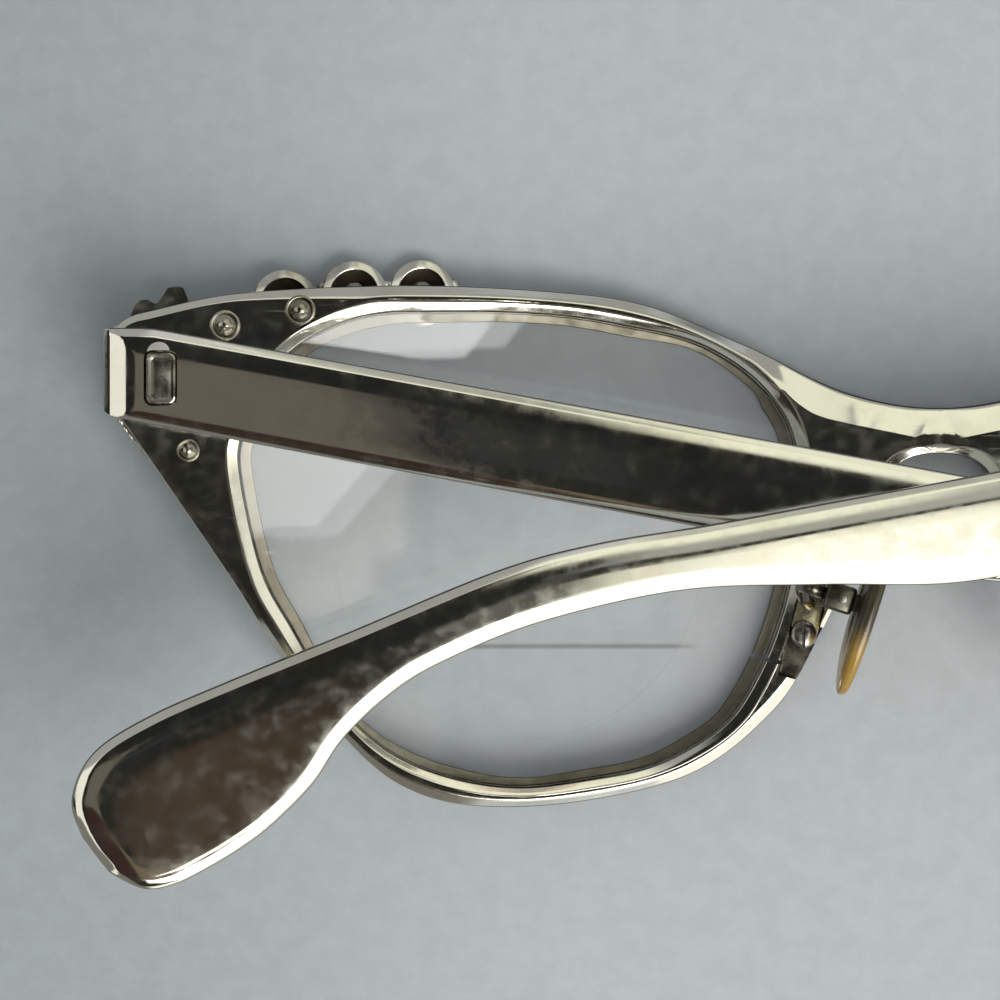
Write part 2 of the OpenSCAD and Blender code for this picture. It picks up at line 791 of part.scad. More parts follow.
// Drop shaped face of a pad, wider below the middle
function pad_points(grow) = [
    for (a = [0 : 10 : 350])
        [(pad_w / 2 + grow) * cos(a) * (1 - 0.1 * sin(a)), (pad_l / 2 + grow) * sin(a)]
];

module pad_slab(grow, height) {
    rotate([0, 90, 0])
        linear_extrude(height = height, center = true)
            polygon(pad_points(grow));
}

module nose_pad(side) {
    color("#8b7437", 0.85)
        sided(side)
            at_pad()
                difference() {
                    union() {
                        pad_slab(0, pad_t - 0.8);
                        pad_slab(-0.4, pad_t);
                        translate([pad_t / 2 - weld, -0.7, -lug_w / 2])
                            cube([lug_x + 0.7 - pad_t / 2, 1.4, lug_w]);
                    }
                    translate([lug_x, 0, 0])
                        cylinder(r = pad_pin_r + pad_pin_fit, h = lug_w + 1, center = true, $fn = 24);
                }
}

front_frame();
lens(left);  // lens_left
lens(right);  // lens_right
corner_trim(left);  // corner_trim_left
corner_trim(right);  // corner_trim_right
scallop_trim(left);  // scallop_trim_left
scallop_trim(right);  // scallop_trim_right
rhinestones(left);  // rhinestones_left
rhinestones(right);  // rhinestones_right
trim_rivets(left);  // trim_rivets_left
trim_rivets(right);  // trim_rivets_right
hinge_front(left);  // hinge_front_left
hinge_front(right);  // hinge_front_right
hinge_rivets(left);  // hinge_rivets_left
hinge_rivets(right);  // hinge_rivets_right
hinge_screw(left);  // hinge_screw_left
hinge_screw(right);  // hinge_screw_right
hinge_temple(left);  // hinge_temple_left
hinge_temple(right);  // hinge_temple_right
temple(left);  // temple_left
temple(right);  // temple_right
rim_lock(left);  // rim_lock_left
rim_lock(right);  // rim_lock_right
pad_arm(left);  // pad_arm_left
pad_arm(right);  // pad_arm_right
pad_arm_screw(left);  // pad_arm_screw_left
pad_arm_screw(right);  // pad_arm_screw_right
pad_pin(left);  // pad_pin_left
pad_pin(right);  // pad_pin_right
nose_pad(left);  // nose_pad_left
nose_pad(right);  // nose_pad_right
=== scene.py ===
import math

import bmesh
import bpy
import numpy as np
from mathutils import Matrix, Vector


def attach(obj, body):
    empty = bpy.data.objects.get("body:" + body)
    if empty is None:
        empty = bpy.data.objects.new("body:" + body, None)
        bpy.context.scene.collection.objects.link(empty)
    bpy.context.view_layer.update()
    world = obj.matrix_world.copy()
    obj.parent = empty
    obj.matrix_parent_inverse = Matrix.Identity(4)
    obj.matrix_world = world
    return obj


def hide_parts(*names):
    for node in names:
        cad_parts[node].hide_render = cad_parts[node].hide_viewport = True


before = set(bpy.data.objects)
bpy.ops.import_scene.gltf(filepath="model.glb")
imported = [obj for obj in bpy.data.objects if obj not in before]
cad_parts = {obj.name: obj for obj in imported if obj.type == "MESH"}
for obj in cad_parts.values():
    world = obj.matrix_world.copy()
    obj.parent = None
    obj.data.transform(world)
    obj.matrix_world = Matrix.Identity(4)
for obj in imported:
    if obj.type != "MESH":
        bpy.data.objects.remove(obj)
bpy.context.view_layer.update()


# Camera
# It looks straight down on the back of the wearer's left half, with the brow edge at the top of
# the picture, as the photograph does.
MM = 0.001
bpy.ops.object.select_all(action="DESELECT")
bpy.ops.object.camera_add(location=(-33.8 * MM, 3.8 * MM, 234 * MM), rotation=(0, 0, 0))
camera = bpy.context.object
camera.data.sensor_width = 36
camera.data.lens = 108.5
camera.data.clip_start = 0.01
bpy.context.scene.camera = camera


# Front
# One plate of aluminium, 2.8 mm thick and bowed on a 600 mm radius, blanked with both openings, then
# its edges rolled over and a fine bead raised round each opening at the back. Pockets are milled for
# the hinge plates and the rim locks, and each rim is sawn through below its lock.
FACE_RADIUS = 600
FACE_LEVEL = 0.0493
PLATE = 2.8
LENS_X = 32.4
OPENING_HALF_W = 21.5
OPENING_HALF_H = 18.2
BRIDGE_TOP = 10.9
BRIDGE_LOW = 7.4
LENS_LEAN = math.asin(LENS_X / FACE_RADIUS)
HINGE_SEAT = [(54.55, 10.45), (60.75, 15.95)]
HINGE_SEAT_Z = 5.1995
LOCK_AT = Vector((10.55, -6.5, 0))
LOCK_TURN = math.radians(13)
LOCK_FLOOR = 1.7778
POCKET = (2.3, 7.0)


def face_z(x, y):
    return FACE_LEVEL + FACE_RADIUS - np.sqrt(FACE_RADIUS**2 - x * x - y * y)


def back_z(x, y):
    return FACE_LEVEL + FACE_RADIUS - np.sqrt((FACE_RADIUS - PLATE) ** 2 - x * x - y * y)


def curve_through(points, steps):
    """Smooth run through the inner points; the two end points only give it direction."""
    p = np.array(points, float)
    a, b, c, d = p[:-3], p[1:-2], p[2:-1], p[3:]
    t = np.arange(steps)[:, None, None] / steps
    run = b + ((c - a) * t + (2 * a - 5 * b + 4 * c - d) * t**2 + (3 * b - a - 3 * c + d) * t**3) / 2
    return run.transpose(1, 0, 2).reshape(-1, p.shape[1])


def round_through(points, steps):
    return curve_through([points[-1], *points, *points[:2]], steps)


def outward(loop):
    """Left-hand normals of a closed loop that runs clockwise."""
    along = np.roll(loop, -1, 0) - np.roll(loop, 1, 0)
    side = np.stack([-along[:, 1], along[:, 0]], 1)
    return side / np.linalg.norm(side, axis=1)[:, None]


def gone_along(run):
    """The length of a run of points up to each of them."""
    return np.concatenate([[0], np.cumsum(np.linalg.norm(np.diff(run, axis=0), axis=1))])


def spaced(loop, start, end, count):
    """Evenly spaced points along a loop from one of its points up to, but without, another."""
    last = end if end > start else end + len(loop)
    run = loop[np.arange(start, last + 1) % len(loop)]
    gone = gone_along(run)
    t = np.linspace(0, gone[-1], count, endpoint=False)
    return np.stack([np.interp(t, gone, run[:, 0]), np.interp(t, gone, run[:, 1])], 1)


def first_ring(name, ring):
    """Starts a piece as one ring of points, given in millimetres."""
    bpy.ops.object.select_all(action="DESELECT")
    bpy.ops.mesh.primitive_circle_add(vertices=len(ring), radius=MM)
    piece = bpy.context.object
    piece.name = piece.data.name = name
    bpy.ops.object.mode_set(mode="EDIT")
    work = bmesh.from_edit_mesh(piece.data)
    place = work.verts.layers.int.new("place")
    for i, v in enumerate(work.verts):
        v[place] = i
        v.co = Vector(ring[i]) * MM
    bmesh.update_edit_mesh(piece.data)
    return piece


def next_ring(piece, ring):
    """Extrudes the selected ring and sets the new one on its points."""
    bpy.ops.mesh.extrude_edges_indiv()
    work = bmesh.from_edit_mesh(piece.data)
    place = work.verts.layers.int["place"]
    for v in work.verts:
        if v.select:
            v.co = Vector(ring[v[place]]) * MM
    bmesh.update_edit_mesh(piece.data)


def loft(name, rings, ends="open"):
    """A skin over rings of the same count: closed into a tube, capped at both ends or left open."""
    piece = first_ring(name, rings[0])
    if ends == "capped":
        bpy.ops.mesh.edge_face_add()
    for ring in rings[1:]:
        next_ring(piece, ring)
    if ends == "closed":
        bpy.ops.mesh.select_all(action="SELECT")
        bpy.ops.mesh.select_non_manifold(extend=False)
        bpy.ops.mesh.bridge_edge_loops()
    if ends == "capped":
        bpy.ops.mesh.edge_face_add()
    bpy.ops.mesh.select_all(action="SELECT")
    bpy.ops.mesh.normals_make_consistent(inside=False)
    bpy.ops.object.mode_set(mode="OBJECT")
    return piece


def only(piece):
    """Selects one object alone and makes it the active one."""
    bpy.ops.object.select_all(action="DESELECT")
    piece.select_set(True)
    bpy.context.view_layer.objects.active = piece


def smooth(piece, degrees):
    only(piece)
    bpy.ops.object.shade_smooth_by_angle(angle=math.radians(degrees))


def apply_all(piece):
    only(piece)
    for name in [m.name for m in piece.modifiers]:
        bpy.ops.object.modifier_apply(modifier=name)


def settle(piece):
    """Puts the object at the origin, unturned, with its place in its mesh."""
    only(piece)
    bpy.ops.object.transform_apply(location=True, rotation=True, scale=True)


def cut_away(piece, cutter, operation="DIFFERENCE"):
    """Cuts one solid out of another, or keeps what they share, and removes the cutter."""
    trim = piece.modifiers.new("cut", "BOOLEAN")
    trim.operation = operation
    trim.solver = "EXACT"
    trim.object = cutter
    apply_all(piece)
    bpy.data.objects.remove(cutter)


def shifted(*offset):
    """A move by millimetres."""
    return Matrix.Translation(Vector(offset) * MM)


def block(low, high, turn=0, about=Vector((0, 0, 0))):
    """A plain box between two corners, which may be turned about an upright axis."""
    bpy.ops.object.select_all(action="DESELECT")
    bpy.ops.mesh.primitive_cube_add(size=1)
    box = bpy.context.object
    low, high = Vector(low), Vector(high)
    for v in box.data.vertices:
        v.co = Vector(l + (c + 0.5) * (h - l) for l, c, h in zip(low, v.co, high))
    box.data.transform(Matrix.Translation(about) @ Matrix.Rotation(turn, 4, "Z"))
    box.data.transform(Matrix.Scale(MM, 4))
    return box


def finish(name, roughness, metal):
    """A material with its shader ready; what follows adds the detail."""
    material = bpy.data.materials.new(name)
    material.use_nodes = True
    nodes = material.node_tree.nodes
    shader = nodes["Principled BSDF"]
    shader.inputs["Roughness"].default_value = roughness
    shader.inputs["Metallic"].default_value = metal
    where = nodes.new("ShaderNodeTexCoord").outputs["Object"]
    return material, shader, where


def new_node(near, kind):
    """A node in the same tree as a socket."""
    return near.id_data.nodes.new(kind)


def connect(start, end):
    end.id_data.links.new(start, end)


def placed(where, scale, turn=(0, 0, 0)):
    """Object coordinates stretched and turned for one pattern."""
    mapping = new_node(where, "ShaderNodeMapping")
    mapping.inputs["Scale"].default_value = scale
    mapping.inputs["Rotation"].default_value = turn
    connect(where, mapping.inputs["Vector"])
    return mapping.outputs["Vector"]


def clouds(vector, scale, detail=4, rough=0.55):
    noise = new_node(vector, "ShaderNodeTexNoise")
    noise.inputs["Scale"].default_value = scale
    noise.inputs["Detail"].default_value = detail
    noise.inputs["Roughness"].default_value = rough
    connect(vector, noise.inputs["Vector"])
    return noise.outputs["Fac"]


def between(value, low, high, to_low=0.0, to_high=1.0):
    """Maps a band of a pattern's values to another, smoothly, and holds it at the ends."""
    band = new_node(value, "ShaderNodeMapRange")
    band.interpolation_type = "SMOOTHSTEP"
    for socket, number in zip(("From Min", "From Max", "To Min", "To Max"), (low, high, to_low, to_high)):
        band.inputs[socket].default_value = number
    connect(value, band.inputs["Value"])
    return band.outputs["Result"]


def arithmetic(operation, first, second):
    node = new_node(first, "ShaderNodeMath")
    node.operation = operation
    connect(first, node.inputs[0])
    if isinstance(second, (int, float)):
        node.inputs[1].default_value = second
    else:
        connect(second, node.inputs[1])
    return node.outputs["Value"]


def times(first, second):
    return arithmetic("MULTIPLY", first, second)


def mixed(share, first, second):
    """A colour that goes from the first to the second with the share."""
    mix = new_node(share, "ShaderNodeMix")
    mix.data_type = "RGBA"
    connect(share, mix.inputs["Factor"])
    for socket, colour in ((mix.inputs[6], first), (mix.inputs[7], second)):
        if isinstance(colour, tuple):
            socket.default_value = (*colour, 1)
        else:
            connect(colour, socket)
    return mix.outputs[2]


def raised(shader, height, strength, distance):
    bump = new_node(height, "ShaderNodeBump")
    bump.inputs["Strength"].default_value = strength
    bump.inputs["Distance"].default_value = distance * MM
    connect(height, bump.inputs["Height"])
    connect(bump.outputs["Normal"], shader.inputs["Normal"])


def axes_of(vector):
    """The X, Y and Z of a vector, each as a value of its own."""
    apart = new_node(vector, "ShaderNodeSeparateXYZ")
    connect(vector, apart.inputs["Vector"])
    return apart.outputs


def streaks(where, turn, along, across, cut):
    """Thin scratches in one direction: noise drawn out along it, kept only where it peaks."""
    vector = placed(where, (along, across, across), (0, 0, turn))
    return between(clouds(vector, 1, 2, 0.4), cut, cut + 0.05)


def scratches(where, strokes):
    """Streaks in several directions, each given as turn, stretch along, stretch across and cut."""
    marks = None
    for stroke in strokes:
        lines = streaks(where, *stroke)
        marks = lines if marks is None else arithmetic("MAXIMUM", marks, lines)
    return marks


def painted_side_shade(tone, shade_tone):
    """Painted shade: faces that stand steep are coloured dark, for the shaded table they mirror; faces that
    lie flat keep the tone.
    """
    facing = axes_of(new_node(tone, "ShaderNodeTexCoord").outputs["Normal"])
    upright = arithmetic("ABSOLUTE", facing["Z"], 0)
    return mixed(between(upright, 0.6, 0.72), shade_tone, tone)


def polished_metal(name, colour, tarnish, roughness, scratch_turns, handled=0.5, scratched=0.3, sides=None):
    """Polished, handled metal: cloudy film, a few scratches across it and a soft polish."""
    material, shader, where = finish(name, roughness, 1)
    film = between(clouds(where, 180, 5, 0.6), 0.4, 0.72)
    tone = mixed(times(film, handled), colour, tarnish)
    # Painted shade: the steep sides take a dark colour
    if sides:
        tone = painted_side_shade(tone, sides)
    connect(tone, shader.inputs["Base Color"])
    marks = scratches(where, [(turn, 260, 5200, 0.7) for turn in scratch_turns])
    grain = clouds(where, 900, 3, 0.6)
    dulled = between(grain, 0.3, 0.8, roughness * 0.7, roughness * 1.5)
    patches = between(clouds(where, 140, 2, 0.5), 0.5, 0.62, 0, scratched)
    marks = times(marks, patches)
    worn = times(marks, 0.3)
    connect(arithmetic("ADD", dulled, worn), shader.inputs["Roughness"])
    polish = times(clouds(where, 420, 2, 0.5), 0.35)
    height = arithmetic("SUBTRACT", polish, marks)
    raised(shader, height, 0.2, 0.02)
    return material


opening = round_through(
    [
        (LENS_X - s * OPENING_HALF_W, t * OPENING_HALF_H)
        for s, t in (
            (-1, 0.33), (-0.925, -0.08), (-0.815, -0.33), (-0.7, -0.56), (-0.565, -0.76),
            (-0.4, -0.893), (-0.19, -0.975), (0.02, -1), (0.25, -0.967), (0.45, -0.92),
            (0.61, -0.835), (0.75, -0.715), (0.855, -0.52), (0.93, -0.3), (0.975, -0.08),
            (1, 0.16), (0.995, 0.36), (0.96, 0.53), (0.88, 0.67), (0.76, 0.79),
            (0.6, 0.885), (0.4, 0.938), (0.18, 0.982), (-0.06, 1), (-0.3, 1),
            (-0.5, 0.993), (-0.67, 0.938), (-0.82, 0.83), (-0.93, 0.67), (-0.985, 0.5),
        )
    ],
    8,
)
brow = curve_through(
    [
        (-7.1, 12.1), (0, BRIDGE_TOP), (7.1, 12.1), (14.7, 15.6), (22.4, 18.7), (30, 19.8),
        (41.5, 20.2), (53.7, 19.5), (61.3, 17.9), (69, 16.2),
    ],
    16,
)
chin = curve_through(
    [
        (64, 13.2), (63, 10.8), (59.8, 6.1), (54.4, -1.9), (48.8, -10.4), (41.5, -17.9),
        (32.4, -19.7), (20.1, -17.6), (12.9, -12.5), (9.4, -6.9), (7.1, -2), (5.6, 1.5),
        (3.4, 6.3), (0, BRIDGE_LOW), (-3.4, 6.3),
    ],
    16,
)
corner = curve_through([(58, 18.8), (61.3, 17.9), (62.6, 17.2), (63, 16.2), (63, 13)], 6)
outline = np.concatenate([brow, corner, [(63, 16.2)], chin, [(0, BRIDGE_LOW)]])

# Where a point of the outline looks across the rim at a point of the opening
ACROSS = (
    ((0, 10.9), (11.9, 9.9)), ((14.7, 15.6), (15.4, 13.9)), ((30, 19.8), (30, 18)),
    ((41.5, 20.2), (41.2, 18.2)), ((53.7, 19.5), (49.2, 15.7)), ((61.3, 17.9), (51.4, 13.6)),
    ((63, 16.2), (52.2, 12.5)), ((63, 10.8), (53.4, 9.8)), ((59.8, 6.1), (53.9, 6.2)),
    ((54.4, -1.9), (52.5, -1)), ((48.8, -10.4), (47.6, -9.9)), ((41.5, -17.9), (40.9, -16.2)),
    ((32.4, -19.7), (32.4, -18.2)), ((20.1, -17.6), (21, -16)), ((12.9, -12.5), (15, -11.2)),
    ((9.4, -6.9), (12.3, -5.2)), ((7.1, -2), (11.3, -0.8)), ((5.6, 1.5), (10.95, 2.3)),
    ((3.4, 6.3), (11, 5.6)), ((0, 7.4), (11.2, 7.6)),
)
BRIDGE_STATIONS = np.array(
    [0, 0.06, 0.15, 0.3, 0.5, 0.8, 1.2, 1.6, 1.9, 2.2, 2.5, 2.75, 3, 3.2, 3.35, 3.45]
)


def read_off(profile, distance):
    """The height of a profile, given as pairs of distance and height, at some distances."""
    x, y = zip(*profile)
    return np.interp(distance, x, y)


def nearest(loop, point):
    return int(np.argmin(np.linalg.norm(loop - np.array(point), axis=1)))


outer, inner = [], []
for (out_a, in_a), (out_b, in_b) in zip(ACROSS, ACROSS[1:]):
    ends = nearest(outline, out_a), nearest(outline, out_b)
    count = math.ceil(gone_along(outline[ends[0] : ends[1] + 1])[-1] / 0.6)
    outer.append(spaced(outline, *ends, count))
    inner.append(spaced(opening, nearest(opening, in_a), nearest(opening, in_b), count))
at_bridge = sum(len(run) for run in outer)
outer.append(np.stack([0 * BRIDGE_STATIONS, BRIDGE_LOW + BRIDGE_STATIONS], 1))
last_pair = nearest(opening, ACROSS[-1][1]), nearest(opening, ACROSS[0][1])
inner.append(spaced(opening, *last_pair, len(BRIDGE_STATIONS)))
outer, inner = np.concatenate(outer), np.concatenate(inner)
on_bridge = np.arange(len(outer)) > at_bridge

out_normal, in_normal = outward(outer), outward(inner)
out_normal[[0, at_bridge]] = (0, 1), (0, -1)
out_normal[on_bridge] = (-1, 0)
wall = np.linalg.norm(outer - inner, axis=1)

# The edge is rolled wide and deep over the bridge and narrow round the end piece: the width and the
# depth of the roll by the distance from the middle of the front
BROW_ROLL = (
    (0, 1.7), (3, 2.8), (7, 5), (9.5, 4.4), (12, 2.3), (14, 1.4), (24, 0.95), (44, 0.85), (54, 0.5),
)
CHIN_ROLL = ((0, 0.4), (6, 0.35), (9, 0.35), (12, 0.7), (40, 0.8), (50, 0.4), (58, 0.3))
BROW_DEPTH = ((0, 1), (3, 1.25), (7, 1.45), (12, 1.1), (24, 1), (44, 1), (54, 0.6))
END_DEPTH = ((40, 1), (48, 0.4))
ROLL_TOP, ROLL_LOW = BROW_ROLL[0][1], CHIN_ROLL[0][1]
first_low = nearest(outer, (63, 10.8))
on_brow = np.arange(len(outer)) < first_low
out_x = outer[:, 0]
roll = np.where(on_brow, read_off(BROW_ROLL, out_x), read_off(CHIN_ROLL, out_x))
squeeze = np.minimum(1, 0.92 * wall / (1.4 * roll + 1.05))[:, None]


def rolled_edge(inset):
    """The outline moved inwards, with the line down the middle of the bridge left straight."""
    p = outer - out_normal * inset * squeeze * roll[:, None]
    p[:, 0] = np.where(
        on_bridge, inset, p[:, 0] + inset * np.clip(1 - np.abs(outer[:, 0]) / 6, 0, 1)
    )
    low, high = BRIDGE_LOW + inset * ROLL_LOW, BRIDGE_TOP - inset * ROLL_TOP
    share = (outer[:, 1] - BRIDGE_LOW) / (BRIDGE_TOP - BRIDGE_LOW)
    p[on_bridge, 1] = (low + share * (high - low))[on_bridge]
    return p


def edge_distance(p, inset):
    """How far a point of such a ring is from the real edge, in widths of the roll."""
    near = np.minimum((p[:, 1] - BRIDGE_LOW) / ROLL_LOW, (BRIDGE_TOP - p[:, 1]) / ROLL_TOP)
    return np.where(on_bridge, near, inset)


def lifted(p, z):
    return np.column_stack([p, z])


def leaned(p, z):
    """Points round the opening, whose axis leans with the bow of the plate."""
    return np.column_stack([p[:, 0] - math.tan(LENS_LEAN) * (z - FACE_LEVEL), p[:, 1], z])


BACK_ROLL = (
    (0, 1.05), (0.04, 0.82), (0.1, 0.71), (0.15, 0.672), (0.32, 0.56), (0.5, 0.44), (0.82, 0.225),
    (1.08, 0.05), (1.14, 0.022), (1.22, 0.006), (1.4, 0),
)
FACE_ROLL = ((0, 0.5), (0.1, 0.28), (0.25, 0.14), (0.5, 0.04), (0.8, 0))
BEAD = (
    (0, 0.04), (0.02, 0.09), (0.05, 0.107), (0.1, 0.12), (0.45, 0.21), (0.76, 0.29), (0.8, 0.295),
    (0.84, 0.26), (0.9, 0.14), (0.98, -0.02), (1.04, -0.02),
)
LIP = ((0.5, 0), (-0.55, 0), (-0.78, 0.05), (-0.85, 0.16), (-0.8, 0.27), (-0.5, 0.33), (-0.05, 0.36))

deep = np.where(
    on_brow, read_off(BROW_DEPTH, out_x), np.minimum(1, roll) * read_off(END_DEPTH, out_x)
)
parting = BRIDGE_LOW + (BRIDGE_TOP - BRIDGE_LOW) * ROLL_LOW / (ROLL_TOP + ROLL_LOW)
deep[on_bridge] = np.where(outer[on_bridge, 1] > parting, 1, 0.5)
rings = [leaned(inner, face_z(*inner.T) + 0.42)]
for step, rise in BEAD:
    p = inner + in_normal * step * squeeze
    rings.append(leaned(p, back_z(*p.T) + rise))
foot = inner + in_normal * BEAD[-1][0] * squeeze
shoulder = rolled_edge(BACK_ROLL[-1][0])
for share in (0.2, 0.45, 0.72):
    p = foot + (shoulder - foot) * share
    rings.append(lifted(p, back_z(*p.T)))
for inset, _ in reversed(BACK_ROLL):
    p = rolled_edge(inset)
    rings.append(lifted(p, back_z(*p.T) - deep * read_off(BACK_ROLL, edge_distance(p, inset))))
for inset, _ in FACE_ROLL:
    p = rolled_edge(inset)
    rings.append(lifted(p, face_z(*p.T) + read_off(FACE_ROLL, edge_distance(p, inset))))
face_foot = inner + in_normal * 0.5 * squeeze
for share in (0.7, 0.35):
    p = face_foot + (rolled_edge(0.8) - face_foot) * share
    rings.append(lifted(p, face_z(*p.T)))
for step, rise in LIP:
    p = inner + in_normal * step * squeeze
    rings.append(leaned(p, face_z(*p.T) + rise))

front = loft("aluminium_front", rings, "closed")
bpy.ops.object.mode_set(mode="EDIT")
work = bmesh.from_edit_mesh(front.data)
# The right half is made alone, so the skin across the middle of the bridge comes out
across_bridge = [f for f in work.faces if all(abs(v.co.x) < 1e-7 for v in f.verts)]
bmesh.ops.delete(work, geom=across_bridge, context="FACES_ONLY")
bmesh.update_edit_mesh(front.data)
bpy.ops.object.mode_set(mode="OBJECT")
other_half = front.modifiers.new("other half", "MIRROR")
other_half.merge_threshold = 0.00001
apply_all(front)
for side in (-1, 1):
    seat = [(side * x, y) for x, y in HINGE_SEAT]
    seat_x = sorted(x for x, _ in seat)
    cut_away(front, block((seat_x[0], seat[0][1], HINGE_SEAT_Z), (seat_x[1], seat[1][1], 20)))
    about = Vector((side * LOCK_AT.x, LOCK_AT.y, 0))
    turn = side * LOCK_TURN
    half_w, half_l = POCKET[0] / 2, POCKET[1] / 2
    cut_away(front, block((-half_w, -half_l, LOCK_FLOOR), (half_w, half_l, 20), turn, about))
    low_x = sorted((0, -side * 2 * half_w))
    open_side = block((low_x[0], -half_l - 0.01, LOCK_FLOOR), (low_x[1], 0.84, 20), turn, about)
    cut_away(front, open_side)
    cut_away(front, block((-3.45, 0.85 - half_l, -9), (3.45, 1.15 - half_l, 20), turn, about))
smooth(front, 40)
# Both finishes of the front colour its steep sides dark as painted shade
aluminium = polished_metal(
    "polished_aluminium", (0.83, 0.82, 0.76), (0.66, 0.63, 0.52), 0.1, (0.2, 1.3, 2.5),
    sides=(0.07, 0.063, 0.05),
)
front.data.materials.append(aluminium)
unpolished = polished_metal(
    "unpolished_aluminium", (0.3, 0.28, 0.22), (0.17, 0.15, 0.11), 0.5, (0.4,), sides=(0.07, 0.063, 0.05)
)
front.data.materials.append(unpolished)
for face in front.data.polygons:
    x, y, z = face.center / MM
    # The lip that carries the glass never saw the polishing wheel
    if face.normal.z > 0.1 and z < face_z(x, y) + 0.6:
        face.material_index = 1
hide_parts("front_frame")
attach(front, "front")


# Lenses
# Clear glass, 2 mm thick, ground to a shallow bowl. Each has a straight-topped near segment that
# stands a hair proud towards the eye, and its thin edge sits in the groove of the rim.
def blended(share, first, second):
    """A shader that goes from the first to the second with the share."""
    mix = new_node(share, "ShaderNodeMixShader")
    for value, socket in zip((share, first, second), mix.inputs):
        connect(value, socket)
    return mix.outputs["Shader"]


LEDGE_Y = -0.0075


def glass_finish():
    material, shader, where = finish("clear_glass", 0.02, 0)
    shader.inputs["Transmission Weight"].default_value = 1
    shader.inputs["IOR"].default_value = 1.52
    dust = between(clouds(where, 260, 4, 0.6), 0.35, 0.8)
    tone = mixed(dust, (1, 1, 1), (0.975, 0.985, 0.98))
    # Painted shadow: a dark line along the ledge of the near segment
    apart = axes_of(where)
    away = arithmetic("ABSOLUTE", apart["X"], 0)
    ledge_shadow = times(
        between(apart["Y"], LEDGE_Y - 0.0003, LEDGE_Y),
        between(apart["Y"], LEDGE_Y, LEDGE_Y + 0.0003, 1, 0),
    )
    for from_x, to_x, low, high in ((0.018, 0.021, 0, 1), (0.035, 0.04, 1, 0)):
        ledge_shadow = times(ledge_shadow, between(away, from_x, to_x, low, high))
    tone = mixed(times(ledge_shadow, 0.8), tone, (0.45, 0.44, 0.42))
    connect(tone, shader.inputs["Base Color"])
    greasy = between(clouds(where, 60, 3, 0.6), 0.5, 0.9, 0.0, 0.03)
    connect(greasy, shader.inputs["Roughness"])
    # Light falls through the glass on to what lies below it
    clear = new_node(where, "ShaderNodeBsdfTransparent")
    clear.inputs["Color"].default_value = (1, 1, 1, 1)
    path = new_node(where, "ShaderNodeLightPath").outputs
    unseen = arithmetic("MAXIMUM", path["Is Shadow Ray"], path["Is Diffuse Ray"])
    through = blended(unseen, shader.outputs["BSDF"], clear.outputs["BSDF"])
    connect(through, material.node_tree.nodes["Material Output"].inputs["Surface"])
    return material


glass = glass_finish()
for side in ("left", "right"):
    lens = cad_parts[f"lens_{side}"]
    lens.data.materials.clear()
    lens.data.materials.append(glass)


# Corner trims
# Thin die-struck metal plates on the face of the end pieces, with rays that run to the stone in
# their middle, a raised collar round that stone and a row of grains along the outer edge.
PLATE_EDGE = round_through(
    [
        (63.5, 12), (63.5, 15.2), (62.3, 17.3), (61.75, 18.6), (61.3, 19.05), (60.75, 19.1),
        (60.1, 18.85), (59.5, 19.6), (59.15, 20.05), (58.15, 20.08), (57.8, 19.4), (57.2, 18.6),
        (54, 18.4), (51.6, 17.9), (53.4, 15.4), (55.4, 11.5), (56.6, 7.2), (59.4, 6.4), (62.2, 8.9),
    ],
    4,
)[::-1]
CORNER_STONE = (57.6, 14.6)
RAYS = 17
GRAIN_RADIUS = 0.36
GRAIN_STEP = 0.66
GRAINS = curve_through(
    [(59.4, 4.4), (60.4, 7), (62.2, 8.9), (63.3, 11), (63.6, 14), (63, 17.2), (61.8, 19.6)], 40
)


def face_place(x, y):
    """Turns what stands square on a flat face to where it sits on the bowed front."""
    turn, lean = math.atan2(y, x), math.asin(math.hypot(x, y) / FACE_RADIUS)
    middle = Vector((0, 0, (FACE_LEVEL + FACE_RADIUS) * MM))
    spin = Matrix.Rotation(turn, 4, "Z")
    tilt = Matrix.Rotation(-lean, 4, "Y")
    down = Matrix.Translation((0, 0, -FACE_RADIUS * MM))
    return Matrix.Translation(middle) @ spin @ tilt @ spin.inverted() @ down


def full_turn(count):
    """Angles spaced evenly round a circle."""
    return np.linspace(0, 2 * math.pi, count, endpoint=False)


def circle(radius, z, count, middle=(0, 0)):
    turns = full_turn(count)
    x, y = middle[0] + radius * np.cos(turns), middle[1] + radius * np.sin(turns)
    return np.column_stack([x, y, np.full(count, float(z))])


def turned(name, profile, count=36):
    """A lathe-turned piece: its profile as radius and height, closed at both ends."""
    return loft(name, [circle(r, z, count) for r, z in profile], "capped")


def ball(radius, segments, rows):
    bpy.ops.object.select_all(action="DESELECT")
    bpy.ops.mesh.primitive_uv_sphere_add(segments=segments, ring_count=rows, radius=radius * MM)
    return bpy.context.object


def joined(name, parts):
    bpy.ops.object.select_all(action="DESELECT")
    for part in parts:
        part.select_set(True)
    bpy.context.view_layer.objects.active = parts[0]
    if len(parts) > 1:
        bpy.ops.object.join()
    whole = bpy.context.object
    whole.name = whole.data.name = name
    return whole


def copied(piece, name):
    other = piece.copy()
    other.data = piece.data.copy()
    other.name = other.data.name = name
    bpy.context.collection.objects.link(other)
    return other


def both_sides(piece, node, material, rides=("front", "front")):
    """Finishes a piece of the right side and makes its mirror image for the left."""
    settle(piece)
    piece.name = piece.data.name = node + "_piece_right"
    if material:
        piece.data.materials.clear()
        piece.data.materials.append(material)
    other = copied(piece, node + "_piece_left")
    other.data.transform(Matrix.Scale(-1, 4, (1, 0, 0)))
    other.data.flip_normals()
    for side, made, body in (("right", piece, rides[0]), ("left", other, rides[1])):
        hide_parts(f"{node}_{side}")
        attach(made, body)
    return piece, other


def at_face(ring, depth):
    """A flat ring laid at a depth below the bowed face of the front."""
    return np.column_stack([ring[:, 0], ring[:, 1], face_z(ring[:, 0], ring[:, 1]) - depth])


